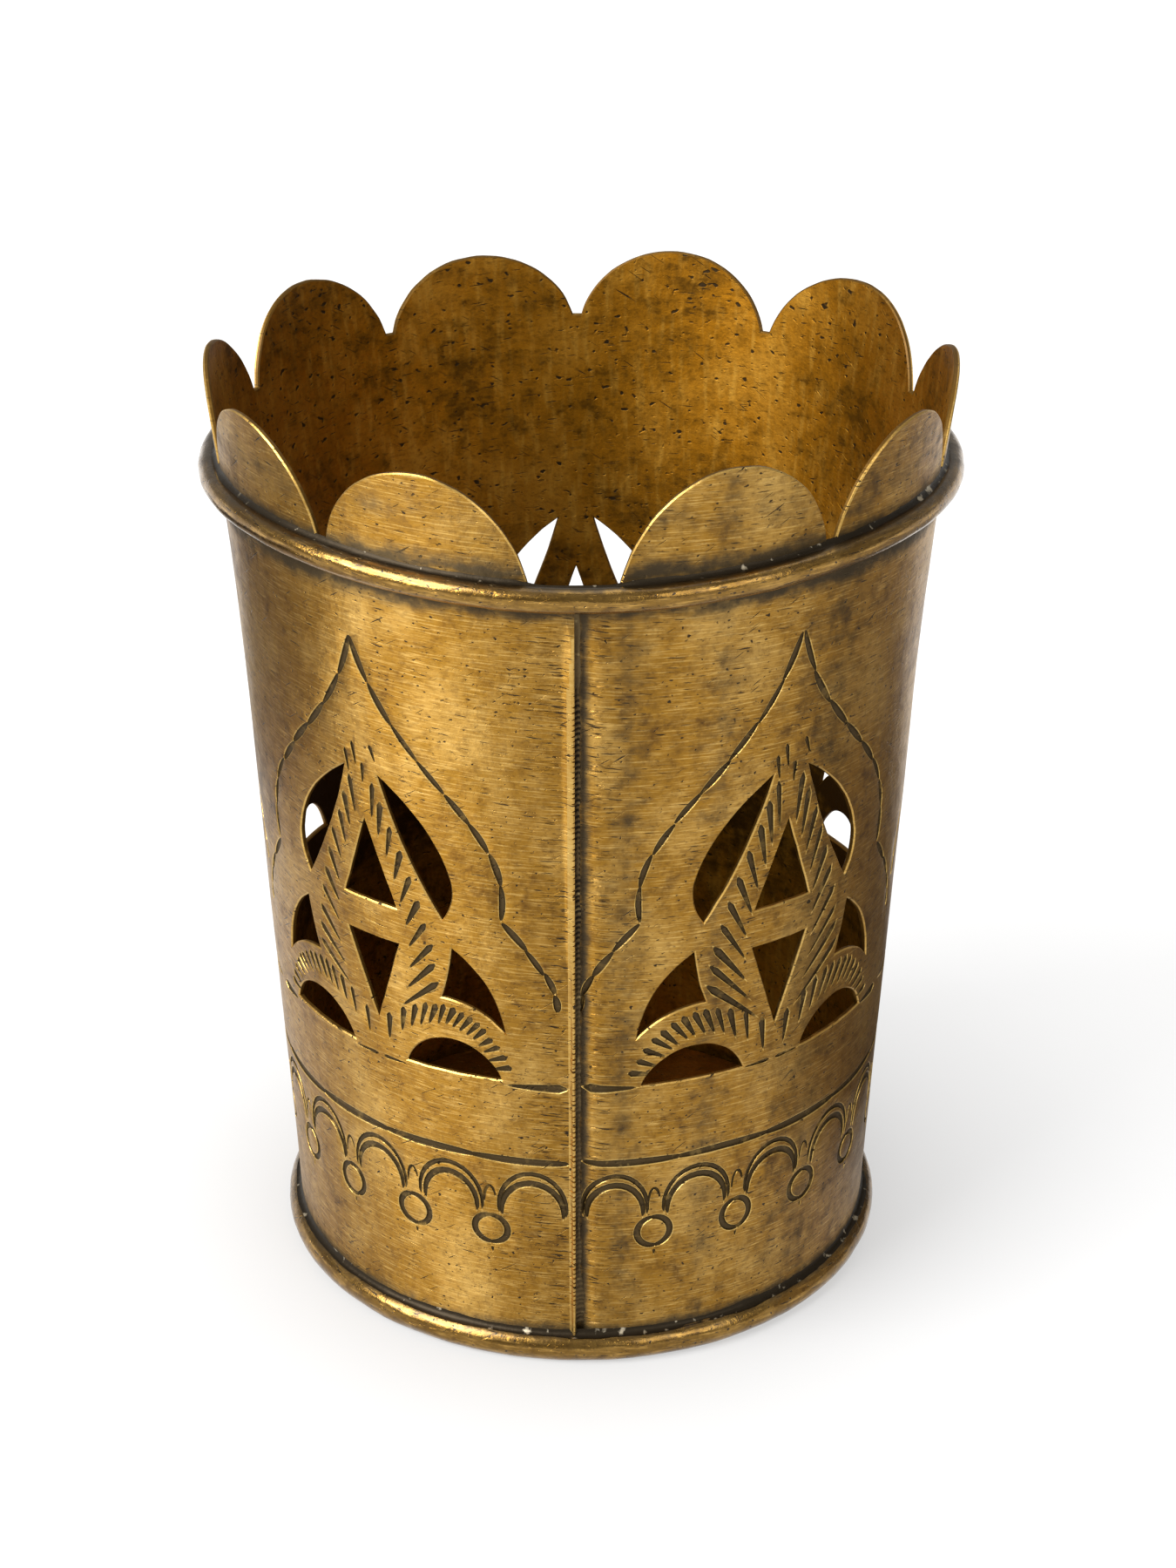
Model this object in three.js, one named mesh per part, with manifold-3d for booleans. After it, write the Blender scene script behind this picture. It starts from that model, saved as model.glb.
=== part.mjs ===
// A brass glass holder: a pierced and lobed sheet, rolled to a flared cup with a lap seam,
// with a wire bead under the lobes, a half-round foot ring and a floor disc, all soldered.
// Millimetres and degrees. +Z is up, the holder stands on z = 0, and the seam faces -Y.

import * as THREE from 'three';
import { mergeVertices } from 'three/addons/utils/BufferGeometryUtils.js';
import loadManifold from 'manifold-3d';

const wasm = await loadManifold();
wasm.setup();

// The wall: heights from the table, radii of its outer face
const HEIGHT = 99.2;
const WALL_FOOT_RADIUS = 31.3;
const WALL_SHOULDER_RADIUS = 34.6;
const FLARE_HEIGHT = 34.2;
const FLARE_OUT = 1.2;
const SHEET = 0.6;
const WALL_LIFT = 0.3;

// The lap seam: the left end lies on top, the right end dips under it
const LAP_ANGLE = 7;
const LAP_GAP = 0.12;
const DIP_ANGLE = 5;
const DIP_STEPS = 4;

// The lobes along the top, cut by hand from a plain gap at the seam round to the same gap:
// one came out wider, and each was trimmed a little lower than the full height
const LOBES = 10;
const GAP_ANGLE = 12;
const GAP_DEPTH = 11.1;
const WIDE_LOBE = 3;
const WIDE_LOBE_EXTRA = 3.4;
const LOBE_DEPTH_FRONT = 10.6;
const LOBE_DEPTH_BACK = 7.6;
const LOBE_TRIM = [0.7, 0.4, 0.7, 0, 0.4, 0.8, 0.1, 0.6, 0.7, 1.5];
const LOBE_ARC_HALF = 76;
const LOBE_STEPS = 12;
const NOTCH_FLAT = 1.0;

// The pierced motif, one to each arch: places across from its middle and up from its base line.
// Each was drawn by hand: taller or lower than the pattern, set higher or to one side by some
// degrees, or with a narrower or a wider half.
const ARCHES = 5;
const ARCH_STRETCH = [1.01, 1, 1.08, 0.96, 0.985];
const ARCH_RISE = [0, 3, 0, 5, 0.4];
const ARCH_SHIFT = [0, -3, 2, 4.5, 0];
const ARCH_LEFT_WIDTH = [1, 0.86, 1, 0.55, 1];
const ARCH_RIGHT_WIDTH = [1, 0.78, 1, 0.85, 0.94];
const SEAM_MARGIN_ANGLE = 1.6;
const MOTIF_BASE_Z = 33.4;
const KING_WINDOW = { halfWidth: 3.45, sill: 17.7, tip: 27.0 };
const KEEL_WINDOW = { halfWidth: 3.4, top: 13.6, tip: 4.1 };
const LEAF = {
  tipAcross: 2.1,
  tip: 32.3,
  shoulderAcross: 8.8,
  shoulder: 28.1,
  bellyAcross: 10.2,
  belly: 22.2,
  hipAcross: 10.6,
  hip: 20.0,
  toeAcross: 9.0,
  toe: 17.7,
  hollowAcross: 4.6,
  hollow: 24.2,
};
const FIN = {
  topAcross: 9.8,
  top: 14.6,
  shoulderAcross: 14.5,
  shoulder: 11.7,
  tipAcross: 15.3,
  tip: 5.6,
  archAcross: 12.6,
  heelAcross: 8.3,
  heel: 8.7,
  hollowAcross: 9.4,
  hollow: 11.6,
};
const MOON = { middle: 9.1, chord: 11.0, rise: 3.9 };

// The two wire rings. The bead dips a little towards the seam.
const BEAD_WIRE_RADIUS = 1.2;
const BEAD_BELOW_TOP = 11.1;
const BEAD_FLAT = 0.45;
const BEAD_SAG = 1.35;
const BEAD_SAG_ANGLE = 60;
const FOOT_WIRE_RADIUS = 1.6;
const FOOT_FLAT = 1.7;
const FOOT_FILED = 0.15;

// The floor and the solder
const FLOOR_THICK = 0.8;
const FLOOR_LIFT = 1.6;
const SOLDER_LEG = 0.8;
const FLOOR_SOLDER_LEG = 0.9;
const JOINT = 0.1;
const SOLDER_CLEARANCE = 0.15;

// Facets
const RING_STEPS = 72;
const WIRE_STEPS = 9;
const CURVE_STEPS = 5;
const FLARE_STEPS = 4;

// Worked out from the sizes above
const FLARE_START_Z = HEIGHT - FLARE_HEIGHT;
const BEAD_Z = HEIGHT - BEAD_BELOW_TOP;
const FLOOR_TOP_Z = FLOOR_LIFT + FLOOR_THICK;
const CUT_MARGIN = 3 * SHEET;

function radians(degrees) {
  return THREE.MathUtils.degToRad(degrees);
}

// Outer radius of the wall: a straight taper, then a gentle flare to the top
function wallRadius(z) {
  const taper = (WALL_SHOULDER_RADIUS - WALL_FOOT_RADIUS) / FLARE_START_Z;
  const flare = Math.max(0, z - FLARE_START_Z) / FLARE_HEIGHT;
  return WALL_FOOT_RADIUS + taper * z + FLARE_OUT * flare * flare;
}

// A point at an angle from the seam, counted to the right as seen from the front
function polar(angle, radius, z) {
  return new THREE.Vector3(radius * Math.sin(angle), -radius * Math.cos(angle), z);
}

// Moves every vertex of a geometry to the place that a function gives for it
function mapVertices(geometry, place) {
  const points = geometry.attributes.position;
  const vertex = new THREE.Vector3();
  for (let i = 0; i < points.count; i += 1) {
    vertex.fromBufferAttribute(points, i);
    const moved = place(vertex);
    points.setXYZ(i, moved.x, moved.y, moved.z);
  }
  return geometry;
}

// A geometry with its shared vertices merged, and nothing but positions left
function welded(geometry) {
  const bare = geometry.clone();
  bare.deleteAttribute('normal');
  bare.deleteAttribute('uv');
  return mergeVertices(bare);
}

function toSolid(geometry) {
  const bare = welded(geometry);
  const vertProperties = new Float32Array(bare.attributes.position.array);
  const triVerts = new Uint32Array(bare.index.array);
  return new wasm.Manifold(new wasm.Mesh({ numProp: 3, vertProperties, triVerts }));
}

function toGeometry(solid) {
  const mesh = solid.getMesh();
  const geometry = new THREE.BufferGeometry();
  geometry.setAttribute('position', new THREE.BufferAttribute(mesh.vertProperties, 3));
  geometry.setIndex(new THREE.BufferAttribute(mesh.triVerts, 1));
  return geometry;
}

// A ring or disc turned about Z from its outline in radius and height, counted anticlockwise
function turned(outline) {
  const profile = [...outline, outline[0]];
  const geometry = new THREE.LatheGeometry(profile, RING_STEPS);
  geometry.rotateX(Math.PI / 2);
  return welded(geometry);
}

// How far the right end of the sheet lies under the left one, at an angle from the seam
function seamDip(angle) {
  const rise = THREE.MathUtils.smoothstep(angle, 0, DIP_ANGLE);
  return (SHEET + LAP_GAP) * (1 - rise);
}

// Depth of the notches below the lobes' crests: a little deeper towards the seam
function notchDepth(angle) {
  const frontness = (1 + Math.cos(radians(angle))) / 2;
  return THREE.MathUtils.lerp(LOBE_DEPTH_BACK, LOBE_DEPTH_FRONT, frontness);
}

// The sheet's columns from its right end, under the lap, round to its left end on top of it.
// Each has its angle from the seam and the height of its top edge.
function sheetColumns() {
  const gapTop = HEIGHT - GAP_DEPTH;
  const columns = [];
  for (const angle of [-LAP_ANGLE, -LAP_ANGLE / 2, 0]) {
    columns.push({ angle, top: gapTop });
  }
  for (let step = 1; step <= DIP_STEPS; step += 1) {
    columns.push({ angle: DIP_ANGLE * step / DIP_STEPS, top: gapTop });
  }
  const lobeAngle = (360 - GAP_ANGLE - WIDE_LOBE_EXTRA) / LOBES;
  const flatAngle = THREE.MathUtils.radToDeg(NOTCH_FLAT / wallRadius(HEIGHT));
  const arcHalf = radians(LOBE_ARC_HALF);
  let start = GAP_ANGLE / 2;
  for (let lobe = 0; lobe < LOBES; lobe += 1) {
    const width = lobeAngle + (lobe === WIDE_LOBE ? WIDE_LOBE_EXTRA : 0);
    const trim = LOBE_TRIM[lobe % LOBE_TRIM.length];
    const leftDepth = lobe === 0 ? GAP_DEPTH : notchDepth(start);
    const rightDepth = lobe === LOBES - 1 ? GAP_DEPTH : notchDepth(start + width);
    for (let step = 0; step <= LOBE_STEPS; step += 1) {
      const turn = THREE.MathUtils.lerp(-arcHalf, arcHalf, step / LOBE_STEPS);
      const across = Math.sin(turn) / Math.sin(arcHalf);
      const drop = (1 - Math.cos(turn)) / (1 - Math.cos(arcHalf));
      const angle = start + width / 2 + across * (width - flatAngle) / 2;
      const depth = across < 0 ? leftDepth : rightDepth;
      columns.push({ angle, top: HEIGHT - THREE.MathUtils.lerp(trim, depth, drop) });
    }
    start += width;
  }
  columns.push({ angle: 360 - GAP_ANGLE / 4, top: gapTop });
  columns.push({ angle: 360, top: gapTop });
  return columns;
}

// The blank: a flat sheet with its edge cut to lobes, rolled up and lapped at the seam
function rolledSheet() {
  const columns = sheetColumns();
  const across = columns.length - 1;
  const up = FLARE_STEPS + 1;
  const flat = new THREE.BoxGeometry(across, up, SHEET, across, up, 1);
  flat.translate(across / 2, up / 2, -SHEET / 2);
  return mapVertices(flat, (vertex) => {
    const column = columns[Math.round(vertex.x)];
    const level = Math.round(vertex.y);
    const rise = (level - 1) / FLARE_STEPS;
    const z = level === 0 ? WALL_LIFT : THREE.MathUtils.lerp(FLARE_START_Z, column.top, rise);
    const radius = wallRadius(z) - seamDip(column.angle) + vertex.z;
    return polar(radians(column.angle), radius, z);
  });
}

function outline(draw) {
  const shape = new THREE.Shape();
  draw(shape);
  shape.closePath();
  return shape;
}

function triangle(halfWidth, base, tip) {
  return outline((shape) => {
    shape.moveTo(-halfWidth, base);
    shape.lineTo(halfWidth, base);
    shape.lineTo(0, tip);
  });
}

// A leaf: nearly straight along the bar of the motif, full on its other side
function leafOutline(side) {
  const { tipAcross, tip, shoulderAcross, shoulder, bellyAcross, belly } = LEAF;
  const { hipAcross, hip, toeAcross, toe, hollowAcross, hollow } = LEAF;
  return outline((shape) => {
    shape.moveTo(side * tipAcross, tip);
    shape.quadraticCurveTo(side * shoulderAcross, shoulder, side * bellyAcross, belly);
    shape.quadraticCurveTo(side * hipAcross, hip, side * toeAcross, toe);
    shape.quadraticCurveTo(side * hollowAcross, hollow, side * tipAcross, tip);
  });
}

// A fin: full on the outside, hollow along its foot and its inner side
function finOutline(side) {
  const { topAcross, top, shoulderAcross, shoulder, tipAcross, tip } = FIN;
  const { archAcross, heelAcross, heel, hollowAcross, hollow } = FIN;
  return outline((shape) => {
    shape.moveTo(side * topAcross, top);
    shape.quadraticCurveTo(side * shoulderAcross, shoulder, side * tipAcross, tip);
    shape.quadraticCurveTo(side * archAcross, heel, side * heelAcross, heel);
    shape.quadraticCurveTo(side * hollowAcross, hollow, side * topAcross, top);
  });
}

// A half-moon that stands on the base line
function moonOutline(side) {
  const radius = (MOON.chord ** 2 / 4 + MOON.rise ** 2) / (2 * MOON.rise);
  const dropped = MOON.rise - radius;
  const start = Math.atan2(-dropped, MOON.chord / 2);
  return outline((shape) => {
    shape.absarc(side * MOON.middle, dropped, radius, start, Math.PI - start, false);
  });
}

// The eight windows of one arch
function motifOutlines() {
  const windows = [
    triangle(KING_WINDOW.halfWidth, KING_WINDOW.sill, KING_WINDOW.tip),
    triangle(-KEEL_WINDOW.halfWidth, KEEL_WINDOW.top, KEEL_WINDOW.tip),
  ];
  for (const side of [-1, 1]) {
    windows.push(leafOutline(side), finOutline(side), moonOutline(side));
  }
  return windows;
}

// Where a point of the pattern comes to lie on the wall, for one arch
function archPlace(arch) {
  const hand = arch % ARCH_SHIFT.length;
  const pitch = (360 - SEAM_MARGIN_ANGLE) / ARCHES;
  const middle = radians(SEAM_MARGIN_ANGLE / 2 + pitch * (arch + 0.5) + ARCH_SHIFT[hand]);
  return (across, up) => {
    const z = MOTIF_BASE_Z + ARCH_RISE[hand] + up * ARCH_STRETCH[hand];
    const width = across < 0 ? ARCH_LEFT_WIDTH[hand] : ARCH_RIGHT_WIDTH[hand];
    return { angle: middle + across * width / wallRadius(z), z };
  };
}

// A punch in the shape of a window, bent round the wall at its place in an arch
function windowPunch(shape, place) {
  const depth = SHEET + 2 * CUT_MARGIN;
  const block = new THREE.ExtrudeGeometry(shape, {
    depth,
    bevelEnabled: false,
    steps: 1,
    curveSegments: CURVE_STEPS,
  });
  return mapVertices(block, (vertex) => {
    const { angle, z } = place(vertex.x, vertex.y);
    return polar(angle, wallRadius(z) - SHEET - CUT_MARGIN + vertex.z, z);
  });
}

function piercedWall() {
  let wall = toSolid(rolledSheet());
  for (let arch = 0; arch < ARCHES; arch += 1) {
    const place = archPlace(arch);
    for (const shape of motifOutlines()) {
      wall = wall.subtract(toSolid(windowPunch(shape, place)));
    }
  }
  return toGeometry(wall);
}

// A round wire bent round the wall, its back filed flat to lie on it
function wireOnWall(wireRadius, middleZ, flat) {
  const back = wallRadius(middleZ) + JOINT;
  const middleRadius = back + wireRadius - flat;
  const backAngle = Math.acos((back - middleRadius) / wireRadius);
  return { wireRadius, middleZ, middleRadius, backAngle };
}

const BEAD = wireOnWall(BEAD_WIRE_RADIUS, BEAD_Z, BEAD_FLAT);
const FOOT = wireOnWall(FOOT_WIRE_RADIUS, FOOT_WIRE_RADIUS - FOOT_FILED, FOOT_FLAT);

function onWire(wire, angle, clearance = 0) {
  const reach = wire.wireRadius + clearance;
  return new THREE.Vector2(
    wire.middleRadius + reach * Math.cos(angle),
    wire.middleZ + reach * Math.sin(angle),
  );
}

// Outline of a wire ring, from the lowest angle of its round side up to its flat back
function wireOutline(wire, lowAngle) {
  const points = [];
  for (let step = 0; step <= WIRE_STEPS; step += 1) {
    points.push(onWire(wire, THREE.MathUtils.lerp(lowAngle, wire.backAngle, step / WIRE_STEPS)));
  }
  const top = points[WIRE_STEPS];
  top.x = wallRadius(top.y) + JOINT;
  return points;
}

// How far the bead hangs below its place at the back, at a point's angle from the seam
function beadSag(point) {
  const turn = Math.abs(Math.atan2(point.x, -point.y));
  return BEAD_SAG * (1 - THREE.MathUtils.smoothstep(turn, 0, radians(BEAD_SAG_ANGLE)));
}

// Lets a ring at the bead's height dip towards the seam and keep to the wall
function dipped(ring) {
  return mapVertices(ring, (vertex) => {
    const z = vertex.z - beadSag(vertex);
    const radius = Math.hypot(vertex.x, vertex.y);
    const drawnIn = wallRadius(vertex.z) - wallRadius(z);
    return polar(Math.atan2(vertex.x, -vertex.y), radius - drawnIn, z);
  });
}

function rimBead() {
  const points = wireOutline(BEAD, -BEAD.backAngle);
  points[0].x = wallRadius(points[0].y) + JOINT;
  return dipped(turned(points));
}

// The foot ring is filed flat underneath, where the holder stands
function footRing() {
  const points = wireOutline(FOOT, -Math.asin(FOOT.middleZ / FOOT.wireRadius));
  points.unshift(new THREE.Vector2(wallRadius(0) + JOINT, 0));
  return turned(points);
}

// The solder in the corner on top of a wire ring
function wireSolder(wire) {
  const spread = SOLDER_LEG / wire.wireRadius;
  const far = onWire(wire, wire.backAngle - spread, JOINT);
  const middle = onWire(wire, wire.backAngle - spread / 2, SOLDER_CLEARANCE);
  const near = onWire(wire, wire.backAngle, SOLDER_CLEARANCE);
  near.x = wallRadius(near.y) + JOINT;
  const highZ = near.y + SOLDER_LEG;
  const high = new THREE.Vector2(wallRadius(highZ) + JOINT, highZ);
  return turned([far, high, near, middle]);
}

function floorRadius() {
  return wallRadius(FLOOR_LIFT) - SHEET - JOINT - SHEET - LAP_GAP;
}

function floorDisc() {
  const radius = floorRadius();
  const geometry = new THREE.LatheGeometry([
    new THREE.Vector2(0, FLOOR_LIFT),
    new THREE.Vector2(radius, FLOOR_LIFT),
    new THREE.Vector2(radius, FLOOR_TOP_Z),
    new THREE.Vector2(0, FLOOR_TOP_Z),
  ], RING_STEPS);
  geometry.rotateX(Math.PI / 2);
  return welded(geometry);
}

// The solder under the floor, in the corner with the wall
function floorSolder() {
  const radius = floorRadius();
  const topZ = FLOOR_LIFT - JOINT;
  return turned([
    new THREE.Vector2(radius - FLOOR_SOLDER_LEG, topZ),
    new THREE.Vector2(radius, topZ - FLOOR_SOLDER_LEG),
    new THREE.Vector2(radius, topZ),
  ]);
}

// The solder down the corner of the lap, from the foot ring's solder up to the bead
function seamSolder() {
  const lowZ = FOOT.middleZ + FOOT.wireRadius + SOLDER_LEG + JOINT;
  const highZ = BEAD_Z - BEAD_SAG - BEAD.wireRadius - JOINT;
  const facet = DIP_ANGLE / DIP_STEPS;
  const levels = [lowZ, FLARE_START_Z];
  for (let step = 1; step <= FLARE_STEPS; step += 1) {
    levels.push(THREE.MathUtils.lerp(FLARE_START_Z, highZ, step / FLARE_STEPS));
  }
  const up = levels.length - 1;
  const strip = new THREE.BoxGeometry(1, up, 1, 1, up, 1);
  strip.translate(0.5, up / 2, 0.5);
  return welded(mapVertices(strip, (vertex) => {
    const z = levels[Math.round(vertex.y)];
    const thick = vertex.x < 0.5 ? SHEET - JOINT : JOINT;
    const sheetFace = wallRadius(z) - seamDip(vertex.x * facet) + JOINT;
    const angle = THREE.MathUtils.lerp(JOINT / wallRadius(z), radians(facet), vertex.x);
    return polar(angle, sheetFace + vertex.z * thick, z);
  }));
}

const SHEET_BRASS = { color: 0x9c7a36, roughness: 0.42, metalness: 1 };
const WIRE_BRASS = { color: 0xb38d40, roughness: 0.3, metalness: 1 };
const SOLDER = { color: 0x6f685a, roughness: 0.5, metalness: 1 };

function addPiece(group, name, geometry, finish) {
  const mesh = new THREE.Mesh(geometry, new THREE.MeshStandardMaterial(finish));
  mesh.name = name;
  group.add(mesh);
}

const holder = new THREE.Group();
addPiece(holder, 'wall_sheet', piercedWall(), SHEET_BRASS);
addPiece(holder, 'rim_bead', rimBead(), WIRE_BRASS);
addPiece(holder, 'foot_ring', footRing(), WIRE_BRASS);
addPiece(holder, 'floor_disc', floorDisc(), SHEET_BRASS);
addPiece(holder, 'seam_solder', seamSolder(), SOLDER);
addPiece(holder, 'rim_solder', dipped(wireSolder(BEAD)), SOLDER);
addPiece(holder, 'foot_solder', wireSolder(FOOT), SOLDER);
addPiece(holder, 'floor_solder', floorSolder(), SOLDER);

export default holder;
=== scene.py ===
"""A brass glass holder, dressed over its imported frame.

The wall is made as its maker made it: a flat blank is scalloped, pierced and chased, and only
then rolled up and lapped. Lengths in the classes are millimetres, angles are degrees from the
lap seam, and Blender's own lengths are metres.
"""

import logging
import math
import random
from collections.abc import Iterator, Sequence
from contextlib import contextmanager
from dataclasses import dataclass, field
from enum import Enum

import bpy
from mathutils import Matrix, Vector, noise


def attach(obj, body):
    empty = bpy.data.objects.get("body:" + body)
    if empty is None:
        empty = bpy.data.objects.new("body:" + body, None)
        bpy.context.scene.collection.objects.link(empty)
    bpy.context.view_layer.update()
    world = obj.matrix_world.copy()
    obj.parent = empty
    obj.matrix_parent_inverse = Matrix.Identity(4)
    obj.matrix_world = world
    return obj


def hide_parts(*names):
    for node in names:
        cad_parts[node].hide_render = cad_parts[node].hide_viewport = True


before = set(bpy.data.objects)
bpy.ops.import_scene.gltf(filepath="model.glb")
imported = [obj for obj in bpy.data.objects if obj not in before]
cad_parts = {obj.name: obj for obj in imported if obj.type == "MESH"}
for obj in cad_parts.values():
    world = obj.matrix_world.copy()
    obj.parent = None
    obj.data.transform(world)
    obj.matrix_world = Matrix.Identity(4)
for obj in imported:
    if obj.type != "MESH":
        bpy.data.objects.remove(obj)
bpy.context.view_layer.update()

MM = 0.001
MAP_UNIT = 100.0  # millimetres of sheet to one unit of its map
MERGE = 0.01  # millimetres within which two vertices of a spun ring are one
LOG = logging.getLogger("glass_holder")

Object = bpy.types.Object
Material = bpy.types.Material
Tree = bpy.types.NodeTree
Socket = bpy.types.NodeSocket
Point = tuple[float, float]
Curve = tuple[Point, ...]
Box = tuple[float, float, float, float]


def smoothstep(value: float, low: float, high: float) -> float:
    """Eases from 0 at low to 1 at high.

    Args:
        value: the value to ease.
        low: where the step starts.
        high: where the step ends, above or below low.

    Returns:
        A number from 0 to 1.
    """
    t = min(1.0, max(0.0, (value - low) / (high - low)))
    return t * t * (3.0 - 2.0 * t)


def mix(a: float, b: float, t: float) -> float:
    """Returns the number a share t of the way from a to b."""
    return a + (b - a) * t


def bezier(curve: Curve, t: float) -> Point:
    """Finds a point on a curve by repeated halving between its control points.

    Args:
        curve: the control points, two or more.
        t: the share of the way along, from 0 to 1.

    Returns:
        The point across and up.
    """
    points = list(curve)
    while len(points) > 1:
        points = [
            (mix(a[0], b[0], t), mix(a[1], b[1], t))
            for a, b in zip(points, points[1:])
        ]
    return points[0]


def wander(a: float, b: float, seed: float) -> float:
    """Returns smooth noise from -1 to 1 at a place, for the unevenness of handwork."""
    return noise.noise(Vector((a, b, seed)))


def select_only(obj: Object) -> None:
    """Leaves one object selected and active.

    Args:
        obj: the object.
    """
    bpy.ops.object.select_all(action="DESELECT")
    obj.select_set(True)
    bpy.context.view_layer.objects.active = obj


@contextmanager
def edit_mode(obj: Object) -> Iterator[None]:
    """Opens an object in edit mode with all of it selected.

    Args:
        obj: the mesh object.

    Returns:
        A context that goes back to object mode at its end.
    """
    select_only(obj)
    bpy.ops.object.mode_set(mode="EDIT")
    bpy.ops.mesh.select_all(action="SELECT")
    yield
    bpy.ops.object.mode_set(mode="OBJECT")


def apply_modifier(obj: Object, kind: str, **settings: object) -> None:
    """Adds a modifier to an object and applies it.

    Args:
        obj: the mesh object.
        kind: Blender's name for the modifier's type.
        settings: the modifier's properties.
    """
    select_only(obj)
    modifier = obj.modifiers.new(kind.title(), kind)
    for name, value in settings.items():
        setattr(modifier, name, value)
    bpy.ops.object.modifier_apply(modifier=modifier.name)


def mesh_object(name: str, points: Sequence, faces: Sequence) -> Object:
    """Makes a mesh object from points and faces.

    Args:
        name: the object's name.
        points: the places of its vertices.
        faces: the vertices of each face, counted anticlockwise from outside.

    Returns:
        The new object.
    """
    mesh = bpy.data.meshes.new(name)
    mesh.from_pydata(points, [], faces)
    obj = bpy.data.objects.new(name, mesh)
    bpy.context.scene.collection.objects.link(obj)
    return obj


def spin_round(obj: Object, steps: int) -> None:
    """Spins a section once round the cup's axis, and closes it with its faces outwards.

    Args:
        obj: the section's object.
        steps: how many steps the spin has.
    """
    with edit_mode(obj):
        bpy.ops.mesh.spin(steps=steps, angle=2 * math.pi, center=(0.0, 0.0, 0.0),
                          axis=(0.0, 0.0, 1.0))
    with edit_mode(obj):
        bpy.ops.mesh.remove_doubles(threshold=MERGE * MM)
        bpy.ops.mesh.normals_make_consistent(inside=False)


def smooth(obj: Object, sharp_angle: float) -> None:
    """Shades an object smooth, with edges sharper than an angle left sharp."""
    select_only(obj)
    bpy.ops.object.shade_smooth_by_angle(angle=math.radians(sharp_angle))


def hand_in(obj: Object, node: str) -> None:
    """Ties a finished piece to the frame and reports it.

    Args:
        obj: the finished piece.
        node: the CAD node that it stands for.
    """
    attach(obj, "root")
    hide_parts(node)
    triangles = sum(len(face.vertices) - 2 for face in obj.data.polygons)
    LOG.info("%s: %d triangles, stands for %s", obj.name, triangles, node)


# Finishes


def linear(hex_colour: str) -> tuple[float, float, float, float]:
    """Turns an sRGB colour to linear light.

    Args:
        hex_colour: the colour as a hash and six hex digits.

    Returns:
        Red, green, blue and alpha.
    """
    channels = [int(hex_colour[i:i + 2], 16) / 255 for i in (1, 3, 5)]
    red, green, blue = [
        c / 12.92 if c <= 0.04045 else ((c + 0.055) / 1.055) ** 2.4 for c in channels
    ]
    return red, green, blue, 1.0


def new_tree(name: str) -> tuple[Material, Tree]:
    """Makes a material with an empty node tree.

    Args:
        name: the material's name.

    Returns:
        The material and its tree.
    """
    material = bpy.data.materials.new(name)
    material.use_nodes = True
    material.node_tree.nodes.clear()
    return material, material.node_tree


def add_node(
    tree: Tree,
    kind: str,
    inputs: dict[str | int, object] | None = None,
    **settings: object,
) -> bpy.types.Node:
    """Adds a shader node with its settings and links.

    Args:
        tree: the node tree.
        kind: the node's type without its ShaderNode prefix.
        inputs: for each input, by name or number, a value or the output to link to it.
        settings: the node's properties.

    Returns:
        The new node.
    """
    node = tree.nodes.new("ShaderNode" + kind)
    for name, value in settings.items():
        setattr(node, name, value)
    for key, value in (inputs or {}).items():
        if isinstance(value, Socket):
            tree.links.new(value, node.inputs[key])
        else:
            node.inputs[key].default_value = value
    return node


def seen_rays(tree: Tree) -> Socket:
    """Tells the rays that see a background: from the camera, off metal or through glass.

    Args:
        tree: the node tree.

    Returns:
        1 for such a ray and 0 for others.
    """
    path = add_node(tree, "LightPath")
    seen = path.outputs["Is Camera Ray"]
    for kind in ("Is Glossy Ray", "Is Transmission Ray"):
        either = add_node(tree, "Math", {0: seen, 1: path.outputs[kind]}, operation="MAXIMUM")
        seen = either.outputs["Value"]
    return seen


class Face(Enum):
    """What a face of the brass sheet has been through."""

    OUTSIDE = "brushed outside"
    INSIDE = "darkened inside"
    SAWN = "sawn and filed edge"
    CHASED = "chased groove"


@dataclass(frozen=True)
class SheetLine:
    """A line on the sheet for dirt that has settled, for painted shade, and for the path of a file.
    """

    axis: str
    place: float
    reach: float
    thickness: float = 1.0


@dataclass(frozen=True)
class Marks:
    """The patterns on brass: its noise, and how deep its pits, dirt and painted shade are."""

    brush: Socket
    mottle: Socket
    grain: Socket
    pits: Socket
    dirt_and_shade: Socket


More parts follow.
